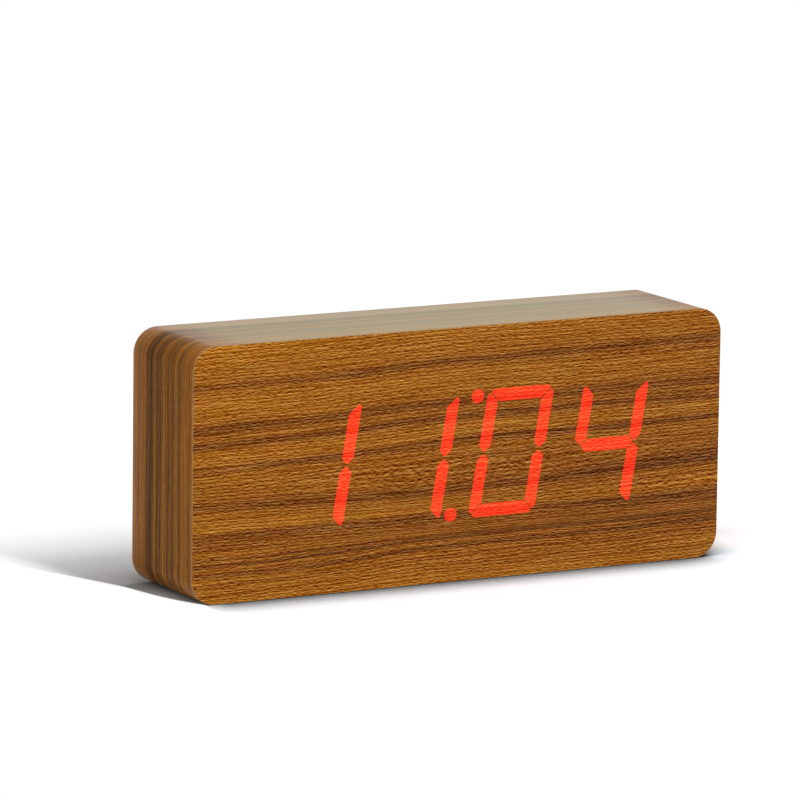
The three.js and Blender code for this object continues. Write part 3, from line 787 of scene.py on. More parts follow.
    def finish(self, **inputs: Value) -> Material:
        """Ends the graph in one surface shader.

        Args:
            **inputs: The shader's inputs, with underscores for spaces.

        Returns:
            The material.
        """
        shader = self.add("ShaderNodeBsdfPrincipled")
        for key, value in inputs.items():
            self.feed(shader.inputs[key.replace("_", " ")], value)
        self.add("ShaderNodeOutputMaterial", {"Surface": shader.outputs[0]})
        return self.owner


# The veneer


@dataclass(frozen=True)
class Layer:
    """One layer of noise, with cells drawn out along the grain and a seed of its own."""

    length: float
    width: float
    seed: float
    strength: float = 1.0
    detail: float = 1.0
    roughness: float = 0.5

    def drawn(self, g: Graph, along: Value, across: Value, seed: float) -> Socket:
        """Gives the layer's noise at a place along and across the grain of a cut with that seed."""
        at = g.point(g.times(along, 1 / self.length), g.times(across, 1 / self.width), seed + self.seed)
        return g.times(g.noise(at, self.detail, self.roughness), self.strength)


SLOW_WANDER = Layer(45, 12, 0, 1.4)
QUICK_WANDER = Layer(13, 5, 7, 0.4)
CLOUDS = Layer(40, 7, 3, detail=2.0)
LINES = Layer(70, 1.9, 5, detail=2.0, roughness=0.6)
WOBBLE = Layer(9, 2.6, 11, 0.4)
FIBRE_TURN = Layer(36, 1.7, 13, 1.7)
LONG_THREADS = Layer(4.5, 0.44, 17, 0.8)
SHORT_THREADS = Layer(0.8, 0.5, 19, 0.45)
HUE_CAST = Layer(16, 3, 23, 0.18)
EDGE_SPECKS = Layer(1.5, 1.5, 4, detail=3.0)


@dataclass(frozen=True)
class Bend:
    """A bend of the grain: how far it goes at each place along it, and its share at each height."""

    path: Curve
    share: Curve


@dataclass(frozen=True)
class Streak:
    """One dark streak of the grain, with its depth of tone at the left, middle and right."""

    place: float
    width: float
    left: float
    middle: float
    right: float

    def drawn(self, g: Graph, along: Value, across: Value, reach: float) -> Socket:
        """Gives the streak's depth of tone at a place.

        Args:
            g: The graph to write in.
            along: The place along the grain.
            across: The place across the grain.
            reach: Half the veneer's length.

        Returns:
            The depth, zero away from the streak.
        """
        away = g.calc("DIVIDE", g.minus(across, self.place), self.width)
        shape = g.calc("EXPONENT", g.times(g.times(away, away), -1.0))
        depth = g.curve(along, [(-reach, self.left), (0, self.middle), (reach, self.right)])
        return g.times(shape, depth)


@dataclass(frozen=True)
class Veneer:
    """A cut of the veneer: how its grain bends, its light and dark zones, and its streaks."""

    source: GrainSource
    reach: float
    bends: tuple[Bend, ...]
    zones: Curve
    streaks: tuple[Streak, ...]
    painted_shade_drift: float
    # Painted shade: a slow, even change of tone along the grain that stands in for how the light falls off;
    # on the front sheet it darkens the right end.
    seed: float
    palette: Palette
    cloud_depth: float = 0.08
    line_depth: float = 0.12
    fibre_pitch: float = 1.2
    fibre_depth: float = 0.165
    thread_depth: float = 0.6
    pore_cell: Point2 = (2.7, 0.45)
    pore_rim: float = 0.48
    pore_core: float = 0.12
    pore_least: float = 0.2
    pore_depth: float = 0.5
    pore_dark: float = 1.25
    # Each pore gets a pale copy shifted across the grain: a painted highlight on the lit side of its relief.
    pore_painted_highlight: float = 0.6
    pore_painted_highlight_shift: float = 0.4
    pore_mean: float = 0.12
    fine_share: float = 0.5
    fine_blue_share: float = 0.75
    least_level: float = 0.02
    hue_green_share: float = 0.6
    relief: Point2 = (0.04, 0.5)
    lit_relief: Point2 = (0.05, 0.5)
    satin: float = 0.34
    satin_change: float = 0.10
    glance: float = 1.2
    lit_roughness: float = 0.4
    lit_strength: float = 0.96
    glance_tint: Color = (0.06, 0.06, 0.06, 1.0)
    # Painted reflection: the strip's top is mixed toward a pale olive tint that stands in for the glare it
    # catches at a grazing angle.
    painted_top_reflection: Curve = ()
    painted_top_reflection_tint: Rgb = (182, 178, 128)
    painted_top_reflection_share: float = 0.4

    def pores(self, g: Graph, along: Value, across: Value, shift: float) -> Socket:
        """Gives the short open pores, each with a strength of its own.

        Args:
            g: The graph to write in.
            along: The place along the grain.
            across: The place across the grain.
            shift: How far the pores are moved across the grain.

        Returns:
            The pores, 0 to 1.
        """
        length, width = self.pore_cell
        at = g.point(g.times(along, 1 / length), g.scaled(across, 1 / width, shift / width), 0.0)
        cells = g.add("ShaderNodeTexVoronoi", {"Vector": at, "Scale": 1.0}, voronoi_dimensions="2D")
        shape = g.smooth(cells.outputs["Distance"], self.pore_rim, self.pore_core)
        own = g.add("ShaderNodeSeparateColor", {0: cells.outputs["Color"]}).outputs[0]
        return g.times(shape, g.scaled(own, 1 - self.pore_least, self.pore_least))

    def tone(self, g: Graph) -> tuple[Socket, Socket]:
        """Writes the veneer's tone.

        Args:
            g: The graph to write in.

        Returns:
            The tone of zones, streaks and the painted shade drift, from 0, dark, to 1, light, and the fine
            relief with the painted highlights beside its pores.
        """
        along, up, _ = g.place(self.source)
        bends = [g.times(g.curve(along, bend.path), g.curve(up, bend.share)) for bend in self.bends]
        wander = [layer.drawn(g, along, up, self.seed) for layer in (SLOW_WANDER, QUICK_WANDER)]
        across = g.minus(up, g.plus(*bends, *wander))
        # The drift along the grain is painted shade.
        parts: list[Value] = [g.curve(across, self.zones), g.times(along, -self.painted_shade_drift)]
        for layer, depth in ((CLOUDS, self.cloud_depth), (LINES, self.line_depth)):
            parts.append(g.times(layer.drawn(g, along, across, self.seed), depth))
        for streak in self.streaks:
            parts.append(g.times(streak.drawn(g, along, across, self.reach), -1.0))
        fine = g.plus(across, WOBBLE.drawn(g, along, across, self.seed))
        turn = FIBRE_TURN.drawn(g, along, fine, self.seed)
        fibre = g.calc("SINE", g.times(g.plus(g.times(fine, 1 / self.fibre_pitch), turn), math.tau))
        thread = g.plus(*(layer.drawn(g, along, fine, self.seed) for layer in (LONG_THREADS, SHORT_THREADS)))
        # Painted highlight: a pale copy of the pores, shifted across the grain, beside each dark pore.
        light = g.scaled(self.pores(g, along, fine, self.pore_painted_highlight_shift), self.pore_painted_highlight, self.pore_mean)
        pores = g.minus(light, g.times(self.pores(g, along, fine, 0.0), self.pore_dark))
        relief = g.plus(g.times(fibre, self.fibre_depth), g.times(thread, self.thread_depth),
                        g.times(pores, self.pore_depth))
        return g.plus(*parts), relief

    def color(self, g: Graph, coarse: Value, fine: Value) -> Socket:
        """Gives the wood's colour: the palette for its zones, lightened or darkened by its fibres and pores,
        and by the painted highlights beside the pores.

        Args:
            g: The graph to write in.
            coarse: The tone of its zones and streaks, from 0, dark, to 1, light.
            fine: The fine relief of its fibres and pores, with the painted highlights beside the pores.

        Returns:
            The colour.
        """
        stops = [(at, coded(tint(*level))) for at, level in self.palette]
        shade = g.times(fine, self.fine_share)
        lift = g.point(shade, shade, g.times(shade, self.fine_blue_share))
        kept = g.joined("MAXIMUM", g.joined("ADD", g.ramp(coarse, stops), lift), (self.least_level,) * 3)
        return g.add("ShaderNodeGamma", {"Color": kept, "Gamma": DISPLAY_POWER}).outputs[0]

    def material(self, name: str) -> Material:
        """Makes the satin veneer, with a paler, greener painted reflection along the side strip's top.

        Args:
            name: The material's name.

        Returns:
            The material.
        """
        g = Graph.of(name)
        coarse, fine = self.tone(g)
        along, up, _ = g.place(self.source)
        cast = HUE_CAST.drawn(g, along, up, self.seed)
        hue = g.point(g.plus(1.0, cast), g.minus(1.0, g.times(cast, self.hue_green_share)), 1.0)
        color = g.joined("MULTIPLY", self.color(g, coarse, fine), hue)
        # Painted reflection on the strip's top, mixed into the base colour.
        if self.painted_top_reflection:
            share = g.times(g.curve(along, self.painted_top_reflection), self.painted_top_reflection_share)
            color = g.mix(share, color, tint(*self.painted_top_reflection_tint))
        return g.finish(Base_Color=color, Roughness=g.scaled(fine, self.satin_change, self.satin),
                        Normal=g.bump(fine, *self.relief),
                        IOR=self.glance, Specular_Tint=self.glance_tint)

    def lit(self, name: str) -> Material:
        """Makes the same veneer where a lit segment shines through it.

        Args:
            name: The material's name.

        Returns:
            The material.
        """
        g = Graph.of(name)
        coarse, relief = self.tone(g)
        tone = g.plus(coarse, relief)
        return g.finish(Base_Color=g.between(tone, tint(40, 8, 3), tint(70, 18, 8)),
                        Roughness=self.lit_roughness, Normal=g.bump(relief, *self.lit_relief),
                        IOR=self.glance, Specular_Tint=self.glance_tint,
                        Emission_Color=g.ramp(tone, RED_GLOW), Emission_Strength=self.lit_strength)


RED_GLOW: tuple[tuple[float, Color], ...] = (
    (0.0, (0.80, 0.012, 0.006, 1.0)), (0.35, (0.97, 0.042, 0.013, 1.0)),
    (0.55, (1.0, 0.064, 0.018, 1.0)), (1.0, (1.0, 0.17, 0.05, 1.0)),
)

WALNUT: Palette = (
    (0.05, (75, 36, 13)), (0.22, (99, 52, 19)), (0.36, (120, 67, 23)), (0.5, (139, 81, 25)),
    (0.64, (158, 97, 26)), (0.80, (181, 117, 29)), (0.97, (205, 140, 41)),
)

OLIVE_WALNUT: Palette = (
    (0.05, (60, 38, 9)), (0.2, (88, 54, 12)), (0.36, (117, 71, 13)), (0.5, (143, 86, 15)),
    (0.66, (170, 106, 26)), (0.82, (194, 132, 48)), (0.97, (214, 160, 80)),
)

FRONT_VENEER = Veneer(
    source=GrainSource.FLAT, reach=105, seed=2.0, painted_shade_drift=0.00045, palette=WALNUT,
    bends=(
        Bend(path=((-105, -0.2), (-95, 0.0), (-45, 1.2), (-20, 2.4), (5, 3.0), (30, 3.1), (55, 3.3),
                   (97, 3.9), (105, 4.1)),
             share=((0, 1.0), (14, 1.0), (22, 0.1), (34, 0.1), (46, 0.95), (90, 1.0))),
        Bend(path=((-105, 0.1), (-95, 0.0), (-20, -1.3), (5, -0.7), (30, 0.1), (55, 0.9), (97, 2.6),
                   (105, 2.9)),
             share=((0, 0.0), (24, 0.0), (34, 1.0), (42, 0.3), (50, 0.0), (90, 0.0))),
    ),
    zones=((-2, 0.65), (3, 0.58), (5, 0.56), (8, 0.56), (9.6, 0.45), (12, 0.49), (17, 0.52), (20, 0.45),
           (24, 0.52), (25.4, 0.62), (27, 0.59), (31, 0.535), (38, 0.515), (45, 0.57), (50, 0.595),
           (53, 0.605), (64, 0.58), (68, 0.605), (74, 0.585), (78, 0.585), (84, 0.60), (92, 0.63)),
    streaks=(
        Streak(75.6, 1.7, 0.23, 0.25, 0.19), Streak(72.2, 0.8, 0.04, 0.02, 0.09),
        Streak(61.1, 1.7, 0.25, 0.26, 0.16), Streak(59.2, 1.0, 0.08, 0.04, 0.15),
        Streak(55.7, 1.6, 0.28, 0.30, 0.15), Streak(54.1, 0.8, 0.09, 0.02, 0.14),
        Streak(47.4, 1.0, 0.18, 0.30, 0.28), Streak(45.9, 0.7, 0.17, 0.11, 0.03),
        Streak(34.0, 1.9, 0.18, 0.19, 0.20), Streak(32.5, 0.9, 0.00, 0.07, 0.17),
        Streak(24.4, 0.8, 0.18, 0.21, 0.17), Streak(22.9, 0.7, 0.14, 0.18, 0.17),
        Streak(21.2, 0.6, 0.08, 0.02, 0.14), Streak(15.9, 0.35, 0.14, 0.04, 0.32),
        Streak(15.0, 0.35, 0.10, 0.34, 0.04), Streak(14.0, 0.38, 0.10, 0.04, 0.52),
        Streak(13.3, 0.42, 0.22, 0.48, 0.05), Streak(9.9, 0.4, 0.20, 0.24, 0.22),
        Streak(6.7, 0.3, 0.24, 0.14, 0.18),
    ),
)

WRAP_VENEER = Veneer(
    source=GrainSource.WRAP, reach=300, seed=31.0, painted_shade_drift=0.0, palette=OLIVE_WALNUT,
    bends=(Bend(path=((-1, 0.0), (160, 0.6), (320, -0.5), (480, 0.4), (600, 0.0)),
                share=((-24, 1.0), (24, 1.0))),),
    zones=((-24, 0.55), (-18, 0.57), (-12, 0.48), (-8, 0.46), (-4, 0.48), (0, 0.44), (5, 0.44),
           (9, 0.40), (13, 0.51), (17, 0.56), (24, 0.59)),
    streaks=(
        Streak(8.6, 1.62, 0.22, 0.25, 0.22), Streak(11.4, 0.5, 0.18, 0.15, 0.20),
        Streak(5.6, 0.5, -0.15, -0.07, -0.15), Streak(3.6, 0.75, 0.20, 0.18, 0.20),
        Streak(1.2, 0.62, 0.18, 0.12, 0.20), Streak(-1.2, 0.5, -0.15, -0.10, -0.18),
        Streak(-4.6, 0.75, 0.20, 0.18, 0.20), Streak(-8.2, 1, 0.18, 0.20, 0.15),
        Streak(-10.6, 0.44, -0.15, -0.07, -0.15), Streak(-13.4, 0.75, 0.22, 0.15, 0.20),
        Streak(-20.4, 0.75, 0.18, 0.15, 0.12), Streak(18, 0.75, 0.15, 0.12, 0.12),
    ),
    cloud_depth=0.15, fibre_depth=0.14, thread_depth=0.45, pore_depth=0.16, satin=0.2, glance=1.09,
    # The strip's top, between these places along it, gets the painted reflection.
    painted_top_reflection=((0, 0.0), (248, 0.0), (276, 1.0), (428, 1.0), (454, 0.0), (600, 0.0)),
)

REAR_VENEER = Veneer(
    source=GrainSource.FLAT, reach=105, seed=57.0, painted_shade_drift=-0.0002, palette=WALNUT,
    bends=(Bend(path=((-105, 0.0), (-40, -1.5), (10, -2.0), (60, -1.0), (105, 1.0)),
                share=((0, 1.0), (90, 0.8))),),
    zones=((-2, 0.52), (8, 0.56), (20, 0.50), (40, 0.56), (60, 0.52), (78, 0.58), (84, 0.50), (92, 0.56)),
    streaks=(
        Streak(4.5, 0.8, 0.16, 0.20, 0.12), Streak(7.2, 0.4, 0.10, 0.06, 0.16),
        Streak(24.0, 1.4, 0.20, 0.20, 0.16), Streak(43.0, 1.0, 0.18, 0.2, 0.24),
        Streak(57.5, 1.8, 0.18, 0.2, 0.22), Streak(83.5, 1.1, 0.22, 0.14, 0.20),
        Streak(87.2, 0.5, 0.08, 0.18, 0.12),
    ),
)


# The other finishes


@dataclass(frozen=True)
class Grit:
    """One noise of a finish, and how much of it shows in the tone and in the gloss."""

    cell: Point3
    tone: float
    gloss: float = 0.0
    detail: float = 2.0
    roughness: float = 0.5
    order: tuple[int, int, int] = (0, 1, 2)


def mottled(name: str, stops: Sequence[tuple[float, Sequence[float]]], grits: Sequence[Grit],
            roughness: float, relief: Point3, level: float = 0.5, glow: float = 0.0,
            **inputs: Value) -> Material:
    """Makes a material that is coloured through, with noise in its tone, its gloss and its relief.

    Args:
        name: The material's name.
        stops: Its colours from dark to pale, each with its place.
        grits: Its noises. The first one makes the relief too.
        roughness: Its mean roughness.
        relief: How high the relief is, how much of it shows, and how wide sharp edges are worn.
        level: Where in its colours it lies without the noises.
        glow: How strongly it shines in its own colour.
        **inputs: The shader's other inputs.

    Returns:
        The material.
    """
    g = Graph.of(name)
    place = g.place()
    noises = [g.noise(g.spread([place[k] for k in grit.order], grit.cell), grit.detail, grit.roughness)
              for grit in grits]
    value = g.plus(*(g.times(noise, grit.tone) for noise, grit in zip(noises, grits)), level)
    gloss = [g.times(noise, grit.gloss) for noise, grit in zip(noises, grits) if grit.gloss]
    color = g.ramp(value, stops)
    if glow:
        inputs |= {"Emission_Color": color, "Emission_Strength": glow}
    return g.finish(Base_Color=color, Roughness=g.plus(*gloss, roughness),
                    Normal=g.bump(noises[0], *relief), **inputs)


@dataclass(frozen=True)
class CutEdge:
    """The bare edge of a thin sheet, pale across the grain."""

    low: Rgb = (132, 92, 48)
    high: Rgb = (190, 146, 90)
    contrast: float = 1.4
    roughness: float = 0.55
    shine: float = 0.3
    relief: Point2 = (0.03, 0.3)

    def material(self, name: str) -> Material:
        """Makes the pale edge.

        Args:
            name: The material's name.

        Returns:
            The material.
        """
        g = Graph.of(name)
        along, up, _ = g.place()
        speck = EDGE_SPECKS.drawn(g, along, up, 0)
        color = g.between(g.scaled(speck, self.contrast, 0.5), tint(*self.low), tint(*self.high))
        return g.finish(Base_Color=color, Roughness=self.roughness, Specular_IOR_Level=self.shine,
                        Normal=g.bump(speck, *self.relief))


@dataclass(frozen=True)
class Fibreboard:
    """Bare milled fibreboard: short pressed fibres under broad clouds of tone."""

    low: Rgb = (128, 96, 62)
    high: Rgb = (184, 148, 108)
    hair: Grit = Grit((0.9, 0.5, 0.9), 1.3, detail=4.0, roughness=0.7)
    cloud: Grit = Grit((14, 14, 5), 0.5)
    roughness: float = 0.85
    relief: Point3 = (0.08, 0.5, 0.25)

    def material(self, name: str) -> Material:
        """Makes the fibreboard."""
        stops = [(0.1, tint(*self.low)), (0.9, tint(*self.high))]
        return mottled(name, stops, (self.hair, self.cloud), self.roughness, self.relief)


@dataclass(frozen=True)
class MouldedPlastic:
    """Injection-moulded plastic with the fine spark texture of its mould."""

    color: Rgb
    roughness: float = 0.48
    texture: float = 0.35
    depth: float = 0.03
    edge: float = 0.2
    relief_strength: float = 0.6
    cloud: Grit = Grit((18, 18, 18), 0.5, 0.12)
    dark_factor: float = 0.72
    pale_factor: float = 1.35
    pale_lift: float = 0.004

    def material(self, name: str) -> Material:
        """Makes the plastic.

        Args:
            name: The material's name.

        Returns:
            The material.
        """
        shade = tint(*self.color)
        stops = [(0.15, shaded(shade, self.dark_factor)), (0.5, shade),
                 (0.9, shaded(shade, self.pale_factor, self.pale_lift))]
        spark = Grit((self.texture,) * 3, 0.9, 0.10, roughness=0.6)
        return mottled(name, stops, (spark, self.cloud), self.roughness,
                       (self.depth, self.relief_strength, self.edge))


@dataclass(frozen=True)
class PlatedMetal:
    """Plated or drawn metal with fine marks along one direction."""

    color: Rgb
    roughness: float = 0.26
    marks: Grit = Grit((0.12, 2.5, 0.12), 0.4, 0.16, detail=3.0, order=(0, 2, 1))
    dull: Grit = Grit((3, 3, 3), 0.8, 0.14, order=(0, 2, 1))
    relief: Point3 = (0.01, 0.4, 0.12)
    dark_factor: float = 0.7
    level: float = 0.6

    def material(self, name: str) -> Material:
        """Makes the metal."""
        stops = [(0.1, shaded(tint(*self.color), self.dark_factor)), (0.7, tint(*self.color))]
        return mottled(name, stops, (self.marks, self.dull), self.roughness, self.relief, self.level,
                       Metallic=1.0)


@dataclass(frozen=True)
class CircuitBoard:
    """Solder mask over a woven board, with faint copper runs under it."""

    low: Rgb = (16, 62, 34)
    high: Rgb = (22, 78, 44)
    run: Rgb = (38, 112, 62)
    pitch: float = 2.54
    run_offset_share: float = 0.2
    run_width_share: float = 0.13
    run_length: float = 9
    run_seed: float = 3
    run_threshold: float = 0.03
    weave: float = 0.6
    run_height: float = 0.6
    weave_height: float = 0.3
    roughness: float = 0.34
    relief: Point2 = (0.04, 0.5)
    coat: float = 0.3
    coat_roughness: float = 0.2

    def material(self, name: str) -> Material:
        """Makes the board.

        Args:
            name: The material's name.

        Returns:
            The material.
        """
        g = Graph.of(name)
        place = g.place()
        row = g.times(place[1], 1 / self.pitch)
        line = g.calc("LESS_THAN", g.calc("PINGPONG", g.plus(row, self.run_offset_share), 0.5),
                      self.run_width_share)
        at = g.point(g.times(place[0], 1 / self.run_length), g.calc("FLOOR", row), self.run_seed)
        shown = g.times(line, g.calc("GREATER_THAN", g.noise(at, 0.0), self.run_threshold))
        weave = g.noise(g.spread(place, (self.weave,) * 3))
        base = g.between(g.plus(weave, 0.5), tint(*self.low), tint(*self.high))
        relief = g.plus(g.times(shown, self.run_height), g.times(weave, self.weave_height))
        return g.finish(Base_Color=g.mix(shown, base, tint(*self.run)), Roughness=self.roughness,
                        Normal=g.bump(relief, *self.relief),
                        Coat_Weight=self.coat, Coat_Roughness=self.coat_roughness)


@dataclass(frozen=True)
class CastResin:
    """Cast resin with a faint haze inside it."""

    color: Rgb
    glow: float = 0.0
    haze: Grit = Grit((2.5, 2.5, 2.5), 1.2, detail=3.0)
    dark_factor: float = 0.75
    roughness: float = 0.3
    relief: Point3 = (0.02, 0.3, 0.0)

    def material(self, name: str) -> Material:
        """Makes the resin."""
        stops = [(0.1, shaded(tint(*self.color), self.dark_factor)), (0.9, tint(*self.color))]
        return mottled(name, stops, (self.haze,), self.roughness, self.relief, glow=self.glow)


@dataclass(frozen=True)
class PrintedSleeve:
    """A dry cell's shrunk sleeve of satin film."""

    color: Rgb = (44, 48, 56)
    film: Grit = Grit((0.8, 0.3, 0.3), 1.0, 0.1)
    pale_factor: float = 1.3
    roughness: float = 0.3
    metallic: float = 0.35
    relief: Point3 = (0.02, 0.4, 0.0)

    def material(self, name: str) -> Material:
        """Makes the sleeve."""
        stops = [(0.2, tint(*self.color)), (0.8, shaded(tint(*self.color), self.pale_factor))]
        return mottled(name, stops, (self.film,), self.roughness, self.relief, Metallic=self.metallic)


@dataclass(frozen=True)
class CableJacket:
    """The smooth jacket of flat cable, ribbed between its cores, with painted shade in the grooves."""

    color: Rgb
    pitch: float = 1.27
    haze: float = 2
    groove_painted_shade: float = 1.2
    haze_depth: float = 0.3
    dark_factor: float = 0.6
    roughness: float = 0.4
    relief: Point2 = (0.3, 0.8)

    def material(self, name: str) -> Material:
        """Makes the jacket.

        Args:
            name: The material's name.

        Returns:
            The material.
        """
        g = Graph.of(name)
        place = g.place()
        rib = g.calc("PINGPONG", g.times(place[0], 1 / self.pitch), 0.5)
        haze = g.noise(g.spread(place, (self.haze,) * 3))
        shade = tint(*self.color)
        # The colour darkens into the grooves between the cores: painted shade.
        value = g.plus(g.times(rib, self.groove_painted_shade), g.times(haze, self.haze_depth), 0.2)
        color = g.ramp(value, [(0.1, shaded(shade, self.dark_factor)), (0.6, shade)])
        return g.finish(Base_Color=color, Roughness=self.roughness, Normal=g.bump(rib, *self.relief))


class Finishes:
    """Every finish of the clock, made once."""

    def __init__(self) -> None:
        """Makes the materials."""
        self.front_veneer = FRONT_VENEER.material("front_veneer")
        self.lit_veneer = FRONT_VENEER.lit("lit_veneer")
        self.wrap_veneer = WRAP_VENEER.material("wrap_veneer")
        self.rear_veneer = REAR_VENEER.material("rear_veneer")
        self.cut_edge = CutEdge().material("cut_edge")
        self.fibreboard = Fibreboard().material("fibreboard")
        self.panel_plastic = MouldedPlastic((31, 31, 33), 0.5, 0.45, 0.04).material("panel_plastic")
        self.door_plastic = MouldedPlastic((34, 34, 36), 0.46, 0.45, 0.04).material("door_plastic")
        self.key_plastic = MouldedPlastic((62, 62, 65), 0.38, 0.25, 0.015).material("key_plastic")
        self.knob_plastic = MouldedPlastic((198, 198, 194), 0.4, 0.25, 0.01, 0.05).material("knob_plastic")
        self.part_plastic = MouldedPlastic((26, 26, 28), 0.4, 0.6, 0.02).material("part_plastic")
        self.housing_plastic = MouldedPlastic((62, 60, 58), 0.5, 0.5, 0.02).material("housing_plastic")
        self.steel = PlatedMetal((196, 198, 202), 0.28).material("steel")
        self.dark_steel = PlatedMetal((120, 122, 128), 0.32).material("dark_steel")
        # The screw recess gets a far darker steel than the head: painted shade inside the cross.
        self.recess_painted_shade_steel = PlatedMetal((34, 34, 37), 0.55).material("recess_painted_shade_steel")
        self.mark_ink = MouldedPlastic((168, 168, 164), 0.6, 0.3, 0.01, 0.0).material("mark_ink")
        self.nickel = PlatedMetal((214, 210, 200), 0.2).material("nickel")
        self.board = CircuitBoard().material("circuit_board")
        self.dark_resin = CastResin((96, 40, 34)).material("dark_resin")
        self.lit_resin = CastResin((255, 60, 34), 0.9).material("lit_resin")
        self.sleeve = PrintedSleeve().material("cell_sleeve")
        self.sleeve_band = MouldedPlastic((168, 171, 176), 0.34, 0.5, 0.01).material("sleeve_band")
        self.ribbon = CableJacket((150, 152, 156)).material("ribbon_jacket")
        self.lead = CableJacket((178, 34, 28)).material("lead_jacket")


# Pieces of the clock


def hinge_bar(radius: float, sides: int, reach: float) -> MeshMaker:
    """Makes a round bar on the axis of the battery door's hinge."""
    return MeshMaker().prism(circle(HINGE, radius, sides), MIDDLE_Z - reach, MIDDLE_Z + reach, Axis.Z)


@dataclass
class SubAssembly(ABC):
    """A group of pieces that are built and dressed together."""

    finishes: Finishes

    @abstractmethod
    def build(self) -> list[Piece]:
        """Builds and dresses the group's pieces and gives the new ones."""

    @staticmethod
    def seat(piece: Piece, slot: str, node: str, body: str = CLOCK_BODY) -> Piece:
        """Hands a piece to its body and hides the solid that it stands for.

        Args:
            piece: The finished piece.
            slot: The finish slot it belongs to; not used.
            node: The solid that it stands for.
            body: The body that it moves with.

        Returns:
            The same piece.
        """
        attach(piece, body)
        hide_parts(node)
        return piece

    @staticmethod
    def dress(material: Material, *nodes: str) -> None:
        """Gives solids that stay in sight their finish.

        Args:
            material: The finish.
            *nodes: The solids.
        """
        for node in nodes:
            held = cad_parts[node].data.materials
            held.clear()
            held.append(material)


@dataclass
class Digits:
    """The lit outlines of the display, as they lie on the front sheet."""

    height: float = 45.2
    width: float = 26.7
    thickness: float = 4.6
    corner: float = 3.6
    mitre: float = 0.3
    waist: float = 0.28
    slant: float = 0.173
    pitch: float = 38.2
    middle_x: float = 1.2
    middle_z: float = 44.5
    side_shift: float = 0.22
    drop: float = 0.22
    dot_radius: float = 2.5
    dot_gap: float = 1.4
    dot_drop: float = 0.28
    dot_sides: int = 40
    arc_steps: int = 7
    tip: float = 0.85
    shown: tuple[tuple[str, bool], ...] = (("bc", False), ("bc", True), ("abcdef", True), ("bcfg", False))

    def segments(self) -> dict[str, Outline]:
        """Works out one upright digit.

        Returns:
            The seven outlines about the digit's middle, by letter.
        """
        half_w, half_h, t, r = self.width / 2, self.height / 2, self.thickness, self.corner
        inner_w, inner_h, waist = half_w - t, half_h - t, self.waist / 2
        step = self.mitre / math.sqrt(2)
        bar_end = self.mitre * math.sqrt(2) - waist
        turn = math.degrees(math.asin(self.mitre / 2 / r))
        corner = (half_w - r, half_h - r)
        upper = arc(corner, r, 45 + turn, 90, self.arc_steps)
        top = ([(inner_w - step, inner_h)] + upper + flipped(upper[::-1], -1, 1)
               + [(step - inner_w, inner_h)])
        side = ([(inner_w, inner_h - step)] + arc(corner, r, 45 - turn, 0, self.arc_steps)
                + [(half_w, t / 2 + waist), (half_w - t / 2, waist), (inner_w, t / 2 + waist)])
        bar = [(inner_w - bar_end, -t / 2), (half_w - t / 2 - bar_end, 0), (inner_w - bar_end, t / 2)]
        return {
            "a": top, "b": side, "c": flipped(side), "d": flipped(top), "e": flipped(side, -1, -1),
            "f": flipped(side, -1, 1), "g": bar + flipped(bar, -1, -1),
        }

    def lit(self) -> list[Outline]:
        """Works out the four digits and their dots, every other digit mounted upside down.

        Returns:
            The outlines that are lit, in the front sheet's X and Z.
        """
        segments = self.segments()
        dot_u = self.width / 2 + self.dot_gap + self.dot_radius
        dot_v = self.dot_radius - self.height / 2 - self.dot_drop
        outlines: list[Outline] = []
        for index, (letters, dotted) in enumerate(self.shown):
            sign = -1 if index % 2 == 0 else 1
            x = self.middle_x + (index - (len(self.shown) - 1) / 2) * self.pitch
            for letter in letters:
                leaned = eased([(u + v * self.slant, v) for u, v in segments[letter]], self.tip)
                outlines.append([(x + sign * self.side_shift + u, self.middle_z - sign * self.drop + v)
                                 for u, v in leaned])
            if dotted:
                centre = (x + sign * (self.side_shift + dot_u + dot_v * self.slant),
                          self.middle_z + sign * (dot_v - self.drop))
                outlines.append(circle(centre, self.dot_radius, self.dot_sides))
        return [anticlockwise(outline) for outline in outlines]


